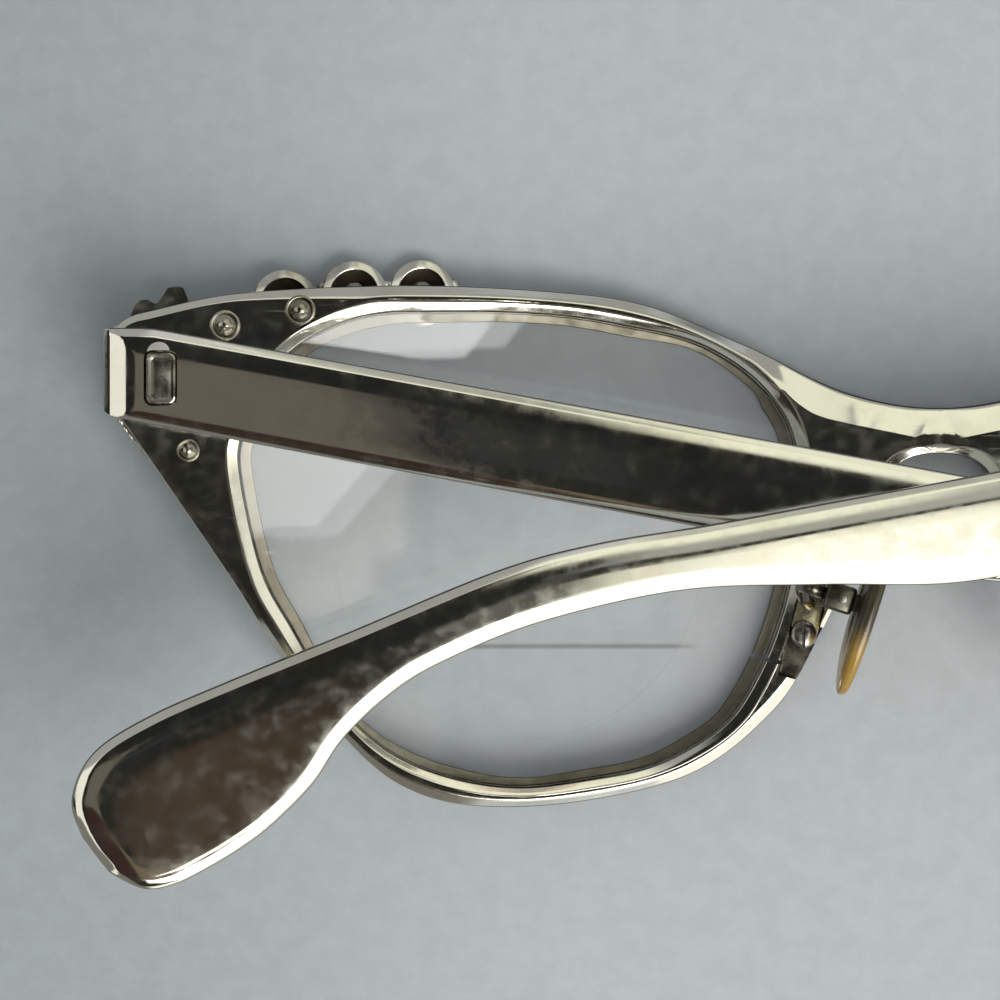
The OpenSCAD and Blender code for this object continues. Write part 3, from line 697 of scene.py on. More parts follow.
toward = PLATE_EDGE - np.array(CORNER_STONE)
bearing = np.arctan2(toward[:, 1], toward[:, 0])
collar = np.column_stack([np.cos(bearing), np.sin(bearing)])
rays = 0.5 + 0.5 * np.cos(bearing * RAYS)
rings = [at_face(PLATE_EDGE, 0)]
for share, depth, relief in (
    (0, 0.45, 0), (0.012, 0.58, 0), (0.03, 0.68, 0), (0.08, 0.72, 0.25), (0.2, 0.8, 0.32),
    (0.4, 0.8, 0.3), (0.6, 0.8, 0.26), (0.8, 0.8, 0.2), (0.93, 0.8, 0.05),
):
    ring = PLATE_EDGE + (np.array(CORNER_STONE) + collar * 2.1 - PLATE_EDGE) * share
    rings.append(at_face(ring, depth - relief * rays))
for radius, depth in ((2.05, 0.9), (2.02, 1.2), (1.95, 1.3), (1.78, 1.3), (1.7, 1.2), (1.66, 0.3)):
    rings.append(at_face(np.array(CORNER_STONE) + collar * radius, depth))
corner_plate = loft("corner_plate", rings, "capped")
gone = gone_along(GRAINS)
grain = ball(GRAIN_RADIUS, 14, 8)
parts = [corner_plate]
for at in np.arange(0.4, gone[-1], GRAIN_STEP):
    x, y = np.interp(at, gone, GRAINS[:, 0]), np.interp(at, gone, GRAINS[:, 1])
    spot = copied(grain, "grain")
    spot.data.transform(shifted(x, y, face_z(x, y) - 0.4))
    parts.append(spot)
bpy.data.objects.remove(grain)
corner_trim = joined("corner_trim", parts)
smooth(corner_trim, 32)
struck_metal = polished_metal(
    "struck_trim_metal", (0.72, 0.71, 0.65), (0.2, 0.19, 0.16), 0.16, (0.9,), 0.85
)
both_sides(corner_trim, "corner_trim", struck_metal)


# Scallop trims
# Three cups of turned metal in a row past the brow edge, with claws bent over their stones and
# beads soldered in the corners between them. Their backs are open and dark with old polish.
SCALLOPS = ((39.8, 19.8), (45, 19.7), (50.3, 19.0))
CUP_RADIUS = 2.5
CLAWS = 6


def soft_block(low, high, edge, segments=3):
    """A milled block with its edges broken."""
    made = block(low, high)
    bpy.ops.object.mode_set(mode="EDIT")
    bpy.ops.mesh.select_all(action="SELECT")
    bpy.ops.mesh.bevel(offset=edge * MM, segments=segments)
    bpy.ops.object.mode_set(mode="OBJECT")
    return made


old_polish = polished_metal(
    "dried_polish", (0.035, 0.028, 0.02), (0.012, 0.01, 0.008), 0.45, (0.9,), 0.9
)
parts = []
for at in SCALLOPS:
    cup = turned(
        "cup",
        [
            (1.6, -0.4), (1.8, -0.36), (1.84, -0.02), (1.9, 0), (2.36, -0.19), (CUP_RADIUS, -0.3),
            (CUP_RADIUS, -0.5), (2.36, -0.62), (2.36, -0.78), (CUP_RADIUS, -0.9), (CUP_RADIUS, -1.18),
            (2.42, -1.3), (2.14, -1.3), (2.06, -1.22), (2.04, -0.45),
        ],
        64,
    )
    cup.data.materials.append(struck_metal)
    cup.data.materials.append(old_polish)
    for face in cup.data.polygons:
        if math.hypot(face.center.x, face.center.y) < 1.83 * MM:
            face.material_index = 1
    cup.data.transform(face_place(*at))
    parts.append(cup)
    for turn in range(CLAWS):
        about = math.radians(360 / CLAWS * (turn + 0.5))
        claw = soft_block((1.78, -0.22, -1.44), (2.36, 0.22, -1.24), 0.07, 2)
        claw.data.materials.append(struck_metal)
        claw.data.transform(face_place(*at) @ Matrix.Rotation(about, 4, "Z"))
        parts.append(claw)
    for angle, size in ((168, 0.55), (12, 0.42)):
        bead = ball(size, 20, 12)
        bead.data.materials.append(struck_metal)
        about = math.radians(angle)
        solder = shifted(CUP_RADIUS * math.cos(about), CUP_RADIUS * math.sin(about), -1.2)
        bead.data.transform(face_place(*at) @ solder)
        parts.append(bead)
scallop_trim = joined("scallop_trim", parts)
smooth(scallop_trim, 32)
both_sides(scallop_trim, "scallop_trim", None)


# Rhinestones
# Round cut-glass stones, foiled behind: a flat table towards the face side, a ring of kite facets,
# a thin girdle and a shallow pavilion that sits down in the cup.
def cut_stone(radius):
    """A stone whose facets stand on sixteen points, every other one drawn in."""
    count = 16
    turns = full_turn(count)
    wide = np.where(np.arange(count) % 2, 1.0, 0.94)
    rings = []
    for share, z, swing in (
        (0.52, -1.6, 1), (0.78, -1.35, 1 / wide**1.6), (1, -1.06, 1), (1, -0.98, 1),
        (0.62, -0.5, wide), (0.1, -0.22, 1),
    ):
        r = radius * share * swing
        rings.append(np.column_stack([r * np.cos(turns), r * np.sin(turns), 0 * turns + z]))
    return loft("stone", rings, "capped")


parts = []
for at, radius in [(at, 2.0) for at in SCALLOPS] + [(CORNER_STONE, 1.58)]:
    stone = cut_stone(radius)
    stone.data.transform(face_place(*at))
    parts.append(stone)
rhinestones = joined("rhinestones", parts)
cut_glass, shader, where = finish("cut_glass", 0.03, 0.0)
shader.inputs["IOR"].default_value = 1.62
shader.inputs["Transmission Weight"].default_value = 0.75
fire = clouds(where, 420, 2, 0.5)
connect(mixed(fire, (0.72, 0.75, 0.78), (0.98, 0.98, 0.95)), shader.inputs["Base Color"])
connect(between(fire, 0.4, 0.9, 0.02, 0.09), shader.inputs["Roughness"])
both_sides(rhinestones, "rhinestones", cut_glass)


# Trim rivets
# Turned rivets that hold the trim, pushed through from the face and headed at the back. Each head
# has a raised rim, a groove and a polished dome.
TRIM_RIVETS = (((49.2, 18.3), 1.15, 0), ((54.9, 17.1), 1.15, 0.8), ((57.7, 7.6), 0.85, 0.8))
parts = []
for at, radius, reach in TRIM_RIVETS:
    rivet = turned(
        "rivet",
        [
            (0.5, -reach), (0.6, -reach + 0.06), (0.6, PLATE - 0.02), (radius * 0.97, PLATE + 0.01),
            (radius, PLATE + 0.08), (radius, PLATE + 0.2), (radius * 0.96, PLATE + 0.3),
            (radius * 0.88, PLATE + 0.34), (radius * 0.8, PLATE + 0.3), (radius * 0.76, PLATE + 0.24),
            (radius * 0.72, PLATE + 0.28), (radius * 0.64, PLATE + radius * 0.4),
            (radius * 0.52, PLATE + radius * 0.53), (radius * 0.38, PLATE + radius * 0.63),
            (radius * 0.22, PLATE + radius * 0.7), (radius * 0.08, PLATE + radius * 0.73),
        ],
        48,
    )
    rivet.data.transform(face_place(*at))
    parts.append(rivet)
trim_rivets = joined("trim_rivets", parts)
smooth(trim_rivets, 50)
rivet_metal = polished_metal("rivet_metal", (0.52, 0.5, 0.44), (0.2, 0.17, 0.12), 0.14, (0.5,), 0.7)
both_sides(trim_rivets, "trim_rivets", rivet_metal)


# Hinges
# Nickel silver: a plate let into the end piece and riveted, with two knuckles, and the temple's own
# knuckle on a neck whose tenon is staked into a slot of the temple. A slotted screw is the axle.
HINGE = Vector((59.3, 13.2, 10.1187))
HINGE_PLATE_TOP = HINGE_SEAT_Z + 0.9
CHEEK_FOOT_Z = 5.9
HINGE_RIVET_X = 55.8
LIFT = math.radians(5.5)


def knuckle(y, length):
    """A drilled barrel along Y, round the hinge axis, with its rims broken."""
    half = length / 2
    profile = [
        (0.7, -half), (1.35, -half), (1.5, -half + 0.15), (1.5, half - 0.15), (1.35, half), (0.7, half)
    ]
    barrel = loft("barrel", [circle(r, z, 48) for r, z in profile], "closed")
    barrel.data.transform(shifted(HINGE.x, y, HINGE.z) @ Matrix.Rotation(math.radians(90), 4, "X"))
    return barrel


parts = [soft_block((54.6, 10.5, HINGE_SEAT_Z), (60.7, 15.9, HINGE_PLATE_TOP), 0.12)]
for step in (-1.9, 1.9):
    y = HINGE.y + step
    parts.append(soft_block((57.85, y - 0.78, CHEEK_FOOT_Z), (60.68, y + 0.78, HINGE.z), 0.1))
    parts.append(knuckle(y, 1.6))
hinge_front = joined("hinge_front", parts)
smooth(hinge_front, 32)
nickel = polished_metal("nickel_silver", (0.36, 0.35, 0.31), (0.14, 0.125, 0.1), 0.24, (0.1, 1.6), 0.85)
both_sides(hinge_front, "hinge_front", nickel)

parts = []
for step in (-1.7, 1.7):
    rivet = turned(
        "rivet",
        [
            (0.5, 3.2), (0.5, 6.08), (0.86, 6.1), (0.9, 6.18), (0.86, 6.3), (0.7, 6.41), (0.45, 6.47),
            (0.15, 6.495),
        ],
        32,
    )
    rivet.data.transform(shifted(HINGE_RIVET_X, HINGE.y + step, 0))
    parts.append(rivet)
hinge_rivets = joined("hinge_rivets", parts)
smooth(hinge_rivets, 40)
both_sides(hinge_rivets, "hinge_rivets", rivet_metal)


def slotted_screw(name, profile, slot_width, slot_depth, count=40):
    """A turned screw whose head has a sawn slot along X at the top of its profile."""
    screw = turned(name, profile, count)
    top = max(z for _, z in profile)
    wide = max(r for r, _ in profile) + 0.5
    cut_away(screw, block((-wide, -slot_width / 2, top - slot_depth), (wide, slot_width / 2, top + 1)))
    return screw


hinge_screw = slotted_screw(
    "hinge_screw",
    [
        (0.5, -2.7), (0.68, -2.58), (0.68, 2.08), (1.1, 2.12), (1.13, 2.2), (1.13, 2.5), (1.05, 2.62),
        (0.8, 2.68), (0.3, 2.7),
    ],
    0.3,
    0.3,
)
hinge_screw.data.transform(shifted(*HINGE) @ Matrix.Rotation(math.radians(-90), 4, "X"))
smooth(hinge_screw, 35)
steel = polished_metal("turned_steel", (0.34, 0.33, 0.3), (0.12, 0.11, 0.09), 0.22, (0.7, 2.2), 0.85)
both_sides(hinge_screw, "hinge_screw", steel)


def rounded(half_x, half_y, corner, z, middle, steps=6):
    """A ring in the shape of a rectangle with round corners."""
    points = []
    for quarter, (sx, sy) in enumerate(((1, 1), (-1, 1), (-1, -1), (1, -1))):
        for step in range(steps):
            turn = math.radians(90 * quarter + 90 * step / (steps - 1))
            x = sx * (half_x - corner) + corner * math.cos(turn)
            y = sy * (half_y - corner) + corner * math.sin(turn)
            points.append((middle[0] + x, middle[1] + y, z))
    return np.array(points)


TENON = (58.6, 12.7)
TENON_HALF = (1.14, 1.94)
TEMPLE_FACE = 13.9187
tenon = loft(
    "tenon",
    [
        rounded(TENON_HALF[0] - inset, TENON_HALF[1] - inset, corner, TEMPLE_FACE + z, TENON)
        for corner, inset, z in (
            (0.5, 0, -2.1), (0.5, 0, -0.34), (0.5, 0.08, -0.26), (0.45, 0.22, -0.24),
            (0.4, 0.32, -0.34), (0.36, 0.42, -0.42), (0.3, 0.55, -0.4), (0.2, 0.8, -0.36),
        )
    ],
    "capped",
)
neck = soft_block((57.45, 12.22, HINGE.z), (59.78, 14.18, HINGE.z + 1.9), 0.1)
hinge_temple = joined("hinge_temple_left_side", [tenon, neck, knuckle(HINGE.y, 2)])
smooth(hinge_temple, 32)


def folded_pair(piece, node, material):
    """The left piece is the mirror image of the right one; the right one is turned up on its hinge."""
    made = both_sides(piece, node, material, ("temple_right_body", "temple_left_body"))
    made[0].data.transform(shifted(*HINGE) @ Matrix.Rotation(LIFT, 4, "Y") @ shifted(*-HINGE))


folded_pair(hinge_temple, "hinge_temple", nickel)


# Temples
# Flat aluminium blades, 2.2 mm thick, blanked with a blunt flared end and polished by hand, so that
# their edges fall away softly. A slot near the hinge takes the tenon, with a dent filed above it.
BLADE_START = -3.6
BUTT_END = -1.2
BLADE_TOP = 16.4
BLADE_LOW = 10
TAPER = 0.182
BEND_LOW = (61, -2.08)
top_x = np.linspace(BLADE_START, 70.8, 90)
low_x = np.linspace(BLADE_START, 50, 60)
top_rail = np.concatenate([
    np.column_stack([top_x, BLADE_TOP - TAPER * np.maximum(0, top_x)]),
    curve_through(
        [
            (63, 4.93), (71, 3.48), (79, 2.02), (87, 0.72), (94, -1.18), (104.5, -5.48), (112.7, -8.78),
            (118.4, -11.28), (122.2, -13.78), (123.65, -16.9), (122.9, -19.6), (122, -20.9),
        ],
        12,
    ),
    [(122.9, -19.6)],
])
low_rail = np.concatenate([
    np.column_stack(
        [low_x, np.interp(low_x, (BLADE_START, BEND_LOW[0]), (BLADE_LOW, BEND_LOW[1]))]
    ),
    curve_through(
        [
            (40, 1.85), (51, -0.21), (61, -2.08), (71, -2.2), (81, -2.58), (91, -4.78), (98, -7.58),
            (101.6, -9.8), (104.85, -12.85), (107, -16), (109.8, -18.8), (112.1, -20.5),
            (114.3, -21.8), (116.5, -22.85), (118.7, -23.15), (121.2, -21.9), (122.1, -20.9),
        ],
        12,
    ),
    [(121.2, -21.9)],
])
RAIL_PAIRS = (
    ((BLADE_START, BLADE_TOP), (BLADE_START, BLADE_LOW), 0.4),
    ((BUTT_END, BLADE_TOP), (BUTT_END, 9.55), 0.4), ((4, 15.7), (4, 8.6), 1.4),
    ((70.8, 3.5), (70.4, -2.2), 0.9), ((79, 2.02), (78, -2.45), 0.9), ((87, 0.72), (85.8, -3.4), 0.9),
    ((94, -1.18), (92.3, -5.2), 0.9), ((99.5, -3.3), (97.6, -7.4), 0.7),
    ((104.5, -5.48), (101.6, -9.8), 0.5), ((109, -7.3), (104.85, -12.85), 0.7),
    ((112.7, -8.78), (107, -16), 0.7), ((116.5, -10.4), (109.8, -18.8), 0.5),
    ((119.8, -12), (112.4, -20.7), 0.4),
    ((122.2, -13.78), (115.4, -22.4), 0.35), ((123.65, -16.9), (118.7, -23.15), 0.3),
    ((122.9, -19.6), (121.2, -21.9), 0.3),
)
top, low = [], []
for (top_a, low_a, _), (top_b, low_b, step) in zip(RAIL_PAIRS, RAIL_PAIRS[1:]):
    length = math.dist(top_a, top_b)
    count = max(2, math.ceil(length / step))
    top.append(spaced(top_rail, nearest(top_rail, top_a), nearest(top_rail, top_b), count))
    low.append(spaced(low_rail, nearest(low_rail, low_a), nearest(low_rail, low_b), count))
top = np.concatenate(top + [[RAIL_PAIRS[-1][0]]])
low = np.concatenate(low + [[RAIL_PAIRS[-1][1]]])

# Finer steps over the butt, whose corners are broken
butt_x = BLADE_START + np.array(
    [0, 0.05, 0.12, 0.3, 0.5, 0.56, 0.62, 0.9, 1.25, 1.55, 1.64, 1.9, 2.1, 2.35]
)
butt_top = np.interp(butt_x, (BLADE_START, -3.54, -3.3), (16.05, 16.25, BLADE_TOP))
butt_low = np.interp(butt_x, (BLADE_START, -3.46, -2.7, BEND_LOW[0]), (10.7, 10.25, 9.83, BEND_LOW[1]))
past_butt = top[:, 0] > BUTT_END
top = np.concatenate([np.column_stack([butt_x, butt_top]), top[past_butt]])
low = np.concatenate([np.column_stack([butt_x, butt_low]), low[past_butt]])

HALF = 1.1
TOP_EDGE = (
    (0, 0.5), (0.05, 0.6), (0.1, 0.66), (0.14, 0.69), (0.18, 0.715), (0.58, 0.93), (0.62, 0.945),
    (0.68, 0.957), (0.95, 1.0), (1.2, 1.035), (1.45, 1.065), (1.7, 1.085), (2.0, 1.1),
)
LOW_EDGE = (
    (0, 0.78), (0.05, 0.86), (0.1, 0.9), (0.3, 0.98), (0.38, 1.01), (0.5, 1.04), (0.65, 1.065),
    (0.85, 1.085), (1.1, 1.1),
)
BUTT_EDGE = (
    (0, 0.26), (0.05, 0.33), (0.5, 0.71), (0.56, 0.75), (0.62, 0.775), (1.55, 0.985), (1.64, 1.01),
    (2.1, 1.06), (2.6, 1.1),
)


def to_run(points, run):
    """The distance of each point from a run of line."""
    a, b = run[:-1], run[1:]
    along = b - a
    t = ((points[:, None] - a) * along).sum(2) / ((along**2).sum(1) + 1e-12)
    foot = a + np.clip(t, 0, 1)[..., None] * along
    return np.linalg.norm(points[:, None] - foot, axis=2).min(1)


def blade_half(points):
    """Half the thickness of the blade at each point: it falls off towards every edge."""
    tip = [(122.9, -19.6), (122.2, -20.8), (121.2, -21.9)]
    high = read_off(TOP_EDGE, to_run(points, np.concatenate([top_rail, tip])))
    deep = read_off(LOW_EDGE, to_run(points, np.concatenate([low_rail, tip[::-1]])))
    end = read_off(BUTT_EDGE, points[:, 0] - BLADE_START)
    return np.minimum(np.minimum(high, deep), end)


from_top = [x for x, _ in TOP_EDGE]
from_low = [x for x, _ in LOW_EDGE]
rings = []
for a, b in zip(top, low):
    width = math.dist(a, b)
    fit = min(1, 0.93 * width / (from_top[-1] + from_low[-1]))
    inside = (from_top[-1] * fit, width - from_low[-1] * fit)
    filler = [inside[0] + (inside[1] - inside[0]) * s for s in (0.2, 0.4, 0.6, 0.8)]
    across = [x * fit for x in from_top] + filler + [width - x * fit for x in reversed(from_low)]
    points = a + (b - a) * (np.array(across) / width)[:, None]
    half = blade_half(points)
    x = HINGE.x - points[:, 0]
    middle = TEMPLE_FACE - HALF
    upper = np.column_stack([x, points[:, 1], middle + half])
    under = np.column_stack([x, points[:, 1], middle - half])[::-1]
    rings.append(np.concatenate([upper, under]))
temple = loft("temple_blade", rings, "capped")
cut_away(temple, loft("slot", [rounded(1.22, 2.04, 0.6, z, TENON) for z in (9, 15)], "capped"))
bpy.ops.object.select_all(action="DESELECT")
bpy.ops.mesh.primitive_cylinder_add(vertices=48, radius=0.82 * MM, depth=2 * MM)
dent = bpy.context.object
dent.data.transform(
    shifted(58.75, 14.62, TEMPLE_FACE - 0.02)
    @ Matrix.Rotation(math.radians(-16), 4, "X")
    @ shifted(0, 0, 1)
)
cut_away(temple, dent)
smooth(temple, 30)

temple_metal, shader, where = finish("temple_aluminium", 0.09, 1)
film = between(clouds(where, 90, 5, 0.6), 0.45, 0.75)
tone = mixed(times(film, 0.5), (0.84, 0.83, 0.77), (0.66, 0.62, 0.5))
# Painted shade: the steep sides of the blade are coloured dark
tone = painted_side_shade(tone, (0.09, 0.07, 0.055))
connect(tone, shader.inputs["Base Color"])
worn_end = between(axes_of(where)["X"], -0.012, 0.012)
rubbed = between(clouds(where, 60, 3, 0.5), 0.42, 0.62)
cuts = scratches(where, ((0.5, 260, 3600, 0.7), (1.3, 240, 4200, 0.71), (2.4, 300, 3800, 0.71)))
cuts = times(cuts, times(rubbed, worn_end))
haze = between(clouds(where, 700, 5, 0.7), 0.35, 0.75, 0.06, 0.15)
dull = times(cuts, 0.5)
connect(arithmetic("ADD", haze, dull), shader.inputs["Roughness"])
wave = times(clouds(where, 110, 2, 0.4), 0.5)
raised(shader, arithmetic("SUBTRACT", wave, cuts), 0.3, 0.02)
folded_pair(temple, "temple", temple_metal)


# Rim locks and pad arms
# A nickel bar lies in the pocket across the saw cut of each rim. The foot of the pad arm lies on it,
# and one slotted screw holds both. The arm is a wire with a small open box for the pad's lug.
FOOT_Z = LOCK_FLOOR + 0.5


def at_lock(piece):
    piece.data.transform(shifted(*LOCK_AT) @ Matrix.Rotation(LOCK_TURN, 4, "Z"))
    return piece


def within_rim(piece):
    """Files off what would stand out past the edge of the rim."""
    flat = np.full(len(outer), 1.0)
    inside = loft("room", [lifted(outer, flat * z) for z in (1, 9)], "capped")
    cut_away(piece, inside, "INTERSECT")
    return piece


lock_bar = soft_block((-1.1, -3.45, LOCK_FLOOR), (1.1, 3.45, FOOT_Z), 0.08, 2)
rim_lock = within_rim(at_lock(lock_bar))
smooth(rim_lock, 32)
dull_nickel = polished_metal("dull_nickel", (0.15, 0.14, 0.115), (0.03, 0.026, 0.02), 0.28, (0.4, 1.9), 0.9)
both_sides(rim_lock, "rim_lock", dull_nickel)

PAD_AT = Vector((6.3, -4.2, 7.3973))
PAD_TURN = math.radians(18)
BOX_REACH = 3.25


def at_pad(piece):
    piece.data.transform(shifted(*PAD_AT) @ Matrix.Rotation(PAD_TURN, 4, "Z"))
    return piece


def tube(name, path, radius, count=14):
    """A round wire along a curve that never runs along Y."""
    along = np.gradient(path, axis=0)
    along /= np.linalg.norm(along, axis=1)[:, None]
    side = np.cross(along, (0, 1, 0))
    side /= np.linalg.norm(side, axis=1)[:, None]
    up = np.cross(side, along)
    turns = full_turn(count)[:, None]
    rings = [p + radius * (np.cos(turns) * s + np.sin(turns) * u) for p, s, u in zip(path, side, up)]
    return loft(name, rings, "capped")


box_mid = np.array(PAD_AT) + BOX_REACH * np.array([math.cos(PAD_TURN), math.sin(PAD_TURN), 0])
foot_mid = np.array([LOCK_AT.x - 0.5, LOCK_AT.y + 2.3, FOOT_Z + 0.3])
wire_path = curve_through(
    [
        foot_mid - [0.3, 0.3, 2], foot_mid, foot_mid + [0.6, 0.6, 2],
        box_mid + [1.6, 0.5, -1], box_mid + [1.1, 0.4, 0.5], box_mid, box_mid - [1.5, 0.5, 0.5],
    ],
    12,
)
foot = within_rim(at_lock(soft_block((-1.08, -0.5, FOOT_Z), (1.08, 3.2, FOOT_Z + 0.6), 0.16)))
outer_box = soft_block((1.02, -1.05, -1.13), (3.3, 1.05, 1.13), 0.3)
cut_away(outer_box, block((0.5, -2, -0.74), (3.03, 2, 0.74)))
arm_metal = polished_metal("arm_wire", (0.15, 0.14, 0.115), (0.035, 0.03, 0.022), 0.24, (0.3, 1.7), 0.9)
foot_metal = polished_metal("stained_foot", (0.6, 0.56, 0.4), (0.1, 0.08, 0.045), 0.26, (0.3,), 1.0)
wire = tube("wire", wire_path, 0.5)
for part, metal in ((foot, foot_metal), (wire, arm_metal), (at_pad(outer_box), arm_metal)):
    part.data.materials.append(metal)
pad_arm = joined("pad_arm", [foot, wire, outer_box])
smooth(pad_arm, 38)
both_sides(pad_arm, "pad_arm", None)

pad_screw = slotted_screw(
    "pad_screw",
    [
        (0.4, FOOT_Z - 0.98), (0.45, FOOT_Z - 0.9), (0.45, FOOT_Z + 0.6), (0.98, FOOT_Z + 0.61),
        (1.05, FOOT_Z + 0.68), (1.05, FOOT_Z + 0.84), (0.96, FOOT_Z + 0.97), (0.72, FOOT_Z + 1.06),
        (0.3, FOOT_Z + 1.1),
    ],
    0.26,
    0.3,
)
pad_screw.data.transform(Matrix.Rotation(math.radians(78), 4, "Z"))
smooth(pad_screw, 35)
both_sides(at_lock(pad_screw), "pad_arm_screw", steel)

pad_pin = turned(
    "pad_pin",
    [(0.22, -1.33), (0.34, -1.25), (0.34, 1.25), (0.3, 1.31), (0.14, 1.33)],
    24,
)
pad_pin.data.transform(shifted(1.95, 0, 0))
smooth(pad_pin, 40)
both_sides(at_pad(pad_pin), "pad_pin", steel)


# Nose pads
# Drop-shaped pads cast in clear celluloid that has yellowed, each with a lug on its back that sits
# in the box and rocks on the pin. Their faces are slightly hollow in the middle.
PAD_HALF_LENGTH = 6.9
PAD_HALF_WIDTH = 3.5


def pad_ring(grow, x, lean=0.0):
    """One ring of the drop, which is narrower towards the brow and bends by its lean."""
    turns = full_turn(56)
    y = (PAD_HALF_LENGTH + grow) * np.sin(turns)
    z = -(PAD_HALF_WIDTH + grow) * np.cos(turns) * (1 - 0.1 * np.sin(turns))
    return np.column_stack([x + lean * ((y / PAD_HALF_LENGTH) ** 2 - 0.5), y, z])


nose_pad = loft(
    "nose_pad",
    [
        pad_ring(-3.0, -0.48, 0.1), pad_ring(-1.9, -0.52, 0.1), pad_ring(-0.9, -0.6, 0.05),
        pad_ring(-0.4, -0.6), pad_ring(-0.14, -0.5), pad_ring(-0.02, -0.3), pad_ring(0, -0.05),
        pad_ring(-0.02, 0.1, -0.2), pad_ring(-0.12, 0.24, -0.35), pad_ring(-0.34, 0.35, -0.45),
        pad_ring(-0.75, 0.41, -0.45), pad_ring(-2.6, 0.42, -0.45),
    ],
    "capped",
)
lug = soft_block((0.55, -0.68, -0.64), (2.63, 0.68, 0.64), 0.22)
nose_pad = at_pad(joined("nose_pad", [nose_pad, lug]))
smooth(nose_pad, 50)
celluloid, shader, where = finish("yellowed_celluloid", 0.22, 0)
shader.inputs["IOR"].default_value = 1.5
shader.inputs["Transmission Weight"].default_value = 0.55
# Painted shade: the upper part of the pad, where the arm box stands behind it, is coloured dark
pad_top_shade = between(axes_of(where)["Y"], -0.0078, -0.0052)
cloudy = clouds(where, 300, 4, 0.6)
amber = mixed(cloudy, (0.5, 0.28, 0.025), (0.62, 0.42, 0.1))
connect(mixed(pad_top_shade, amber, (0.08, 0.066, 0.04)), shader.inputs["Base Color"])
connect(between(cloudy, 0.3, 0.8, 0.14, 0.34), shader.inputs["Roughness"])
raised(shader, cloudy, 0.15, 0.03)
both_sides(nose_pad, "nose_pad", celluloid, ("pad_right_body", "pad_left_body"))


# Table and light
# A pale blue-grey table top under soft studio light. Polished metal shows the room: a bright wall
# to the right, a dark patch of ceiling over the glasses, and windows and cream panels round it.
TABLE_SIZE = 1.6


def table_finish():
    material, shader, where = finish("table_top", 0.75, 0)
    # Painted shade: the table top is coloured darker towards the left, where less light falls
    side = between(axes_of(where)["X"], -0.075, -0.025)
    tone = mixed(side, (0.29, 0.318, 0.33), (0.385, 0.41, 0.424))
    grain = between(clouds(where, 500, 3, 0.7), 0.3, 0.7, 0.96, 1.04)
    scaled = new_node(where, "ShaderNodeVectorMath")
    scaled.operation = "SCALE"
    connect(tone, scaled.inputs[0])
    connect(grain, scaled.inputs["Scale"])
    connect(scaled.outputs["Vector"], shader.inputs["Base Color"])
    return material


bpy.ops.object.select_all(action="DESELECT")
bpy.ops.mesh.primitive_plane_add(size=TABLE_SIZE, location=(0, 0, 0))
table = bpy.context.object
table.name = "table_top"
table.data.materials.append(table_finish())


def pane(slope_x, slope_y, x_span, y_span, soft):
    """One patch of the room, as seen by a ray going up: its span in slopes, with soft edges."""
    share = None
    for value, (low, high) in ((slope_x, x_span), (slope_y, y_span)):
        rise = between(value, low - soft, low + soft)
        fall = between(value, high - soft, high + soft, 1, 0)
        both = times(rise, fall)
        share = both if share is None else times(share, both)
    return share


# Patches of the room from the first painted to the last: spans of slope, softness and colour
CEILING = (
    ((-0.1, 0.12), (0.55, 3.0), 0.05, (0.6, 0.6, 0.6)),
    ((0.19, 1.2), (0.12, 3.0), 0.03, (0.42, 0.43, 0.38)),
    ((0.42, 1.6), (0.1, 0.5), 0.03, (0.95, 0.93, 0.8)),
    ((-0.33, 1.6), (-1.6, -0.45), 0.05, (0.03, 0.027, 0.02)),
    ((-1.7, -0.42), (-0.62, 0.6), 0.02, (0.95, 0.93, 0.84)),
    ((-80, -1.9), (-0.8, 1.5), 0.1, (0.02, 0.02, 0.018)),
    ((-0.46, 0.195), (-0.45, 0.5), 0.02, (0.016, 0.016, 0.014)),
    ((0.19, 0.5), (-0.3, 0.12), 0.02, (0.02, 0.02, 0.017)),
    ((0.1, 0.19), (1.2, 3.0), 0.05, (0.5, 0.5, 0.44)),
    ((0.1, 0.125), (1.2, 3.0), 0.01, (0.95, 0.94, 0.78)),
    ((0.1, 0.3), (0.28, 0.8), 0.03, (1.0, 1.0, 0.8)),
    ((-0.1, 0.62), (0.55, 1.25), 0.04, (1.0, 1.0, 0.8)),
    ((0.35, 1.3), (0.5, 2.2), 0.04, (0.92, 0.92, 0.74)),
    ((-0.25, -0.03), (-0.45, -0.14), 0.03, (0.04, 0.022, 0.017)),
    ((-0.25, -0.033), (-0.14, 0.115), 0.006, (0.135, 0.122, 0.1)),
    ((-0.02, 0.055), (-0.14, 0.115), 0.006, (0.021, 0.022, 0.019)),
    ((-0.033, -0.02), (-0.14, 0.115), 0.006, (0.012, 0.013, 0.018)),
    ((-0.012, 0.006), (0.013, 0.03), 0.007, (0.055, 0.056, 0.052)),
    ((0.016, 0.04), (0.003, 0.016), 0.006, (0.055, 0.056, 0.052)),
    ((-0.03, 0.222), (-0.42, -0.17), 0.006, (0.16, 0.13, 0.085)),
    ((0.062, 0.17), (-0.155, -0.07), 0.018, (0.064, 0.044, 0.03)),
    ((0.228, 1.6), (-0.5, 0.05), 0.012, (1.1, 1.08, 0.88)),
    ((0.2, 0.26), (-0.01, 0.12), 0.02, (0.02, 0.02, 0.017)),
    ((0.02, 0.34), (-0.72, -0.42), 0.02, (2.2, 2.15, 1.95)),
)
LEFT_WINDOW = (
    ((0.325, 0.357), (-0.262, -0.215), 0.003, (2.4, 2.4, 2.35)),
    ((0.357, 0.6), (-0.262, -0.207), 0.003, (3.8, 3.8, 3.7)),
    ((0.357, 0.6), (-0.262, -0.215), 0.003, (5.2, 5.2, 5.1)),
    ((0.325, 0.75), (-0.16, -0.032), 0.003, (2.2, 2.2, 2.1)),
    ((0.357, 0.75), (-0.16, -0.04), 0.003, (3.6, 3.6, 3.4)),
)


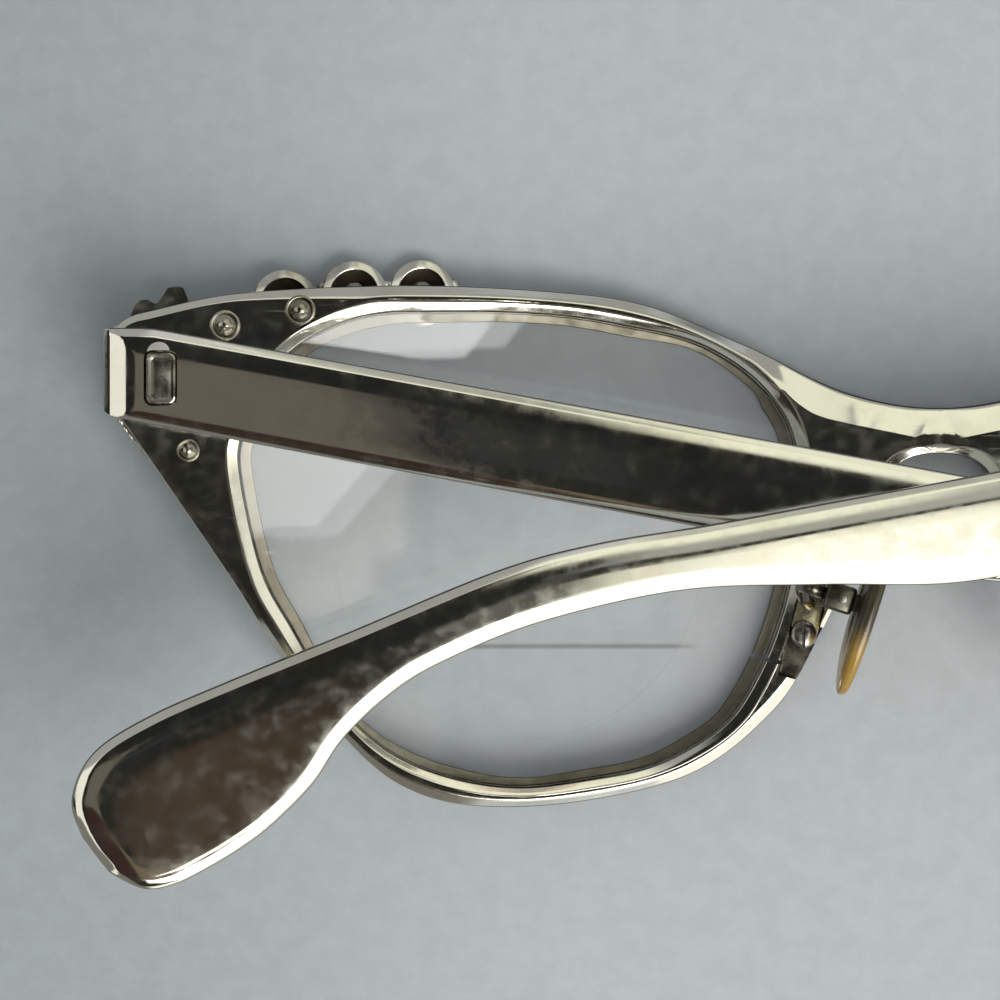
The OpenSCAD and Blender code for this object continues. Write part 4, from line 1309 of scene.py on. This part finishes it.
def room():
    world = bpy.data.worlds.new("room")
    bpy.context.scene.world = world
    world.use_nodes = True
    nodes = world.node_tree.nodes
    nodes.clear()
    out = nodes.new("ShaderNodeOutputWorld")
    ray = axes_of(nodes.new("ShaderNodeTexCoord").outputs["Generated"])
    up = arithmetic("MAXIMUM", ray["Z"], 0.02)
    slope_x = arithmetic("DIVIDE", ray["X"], up)
    slope_y = arithmetic("DIVIDE", ray["Y"], up)
    # Low walls by side, then the patches of the ceiling over them
    wall_x = between(ray["X"], -0.12, 0.12)
    walls = mixed(wall_x, (0.2, 0.19, 0.17), (1.2, 1.17, 1.05))
    wall_y = between(ray["Y"], -0.35, 0.35)
    tone = mixed(wall_y, walls, (0.36, 0.365, 0.35))
    # The window over the left lens is seen at a slant
    slant = times(slope_y, 0.9)
    slanted = arithmetic("SUBTRACT", slope_x, slant)
    for across, panes in ((slope_x, CEILING), (slanted, LEFT_WINDOW)):
        for x_span, y_span, soft, colour in panes:
            tone = mixed(pane(across, slope_y, x_span, y_span, soft), tone, colour)
    # Mirrored rays see the panels, the light itself is one plain tone, the camera sees another
    shown, plain, behind = (nodes.new("ShaderNodeBackground") for _ in range(3))
    connect(tone, shown.inputs["Color"])
    plain.inputs["Color"].default_value = (0.95, 0.98, 1, 1)
    plain.inputs["Strength"].default_value = 0.55
    behind.inputs["Color"].default_value = (0.5, 0.535, 0.545, 1)
    shown, plain, behind = (shade.outputs["Background"] for shade in (shown, plain, behind))
    path = nodes.new("ShaderNodeLightPath").outputs
    lighting = blended(path["Is Glossy Ray"], plain, shown)
    connect(blended(path["Is Camera Ray"], lighting, behind), out.inputs["Surface"])


LAMP_AT = Vector((0.3, -0.4, 0.6))
room()
bpy.ops.object.light_add(type="AREA", location=LAMP_AT)
lamp = bpy.context.object
lamp.data.shape = "RECTANGLE"
lamp.data.size = 0.5
lamp.data.size_y = 0.5
lamp.data.energy = 6
lamp.data.color = (1, 0.98, 0.94)
lamp.rotation_euler = LAMP_AT.to_track_quat("Z", "Y").to_euler()
bpy.context.scene.view_settings.view_transform = "Standard"
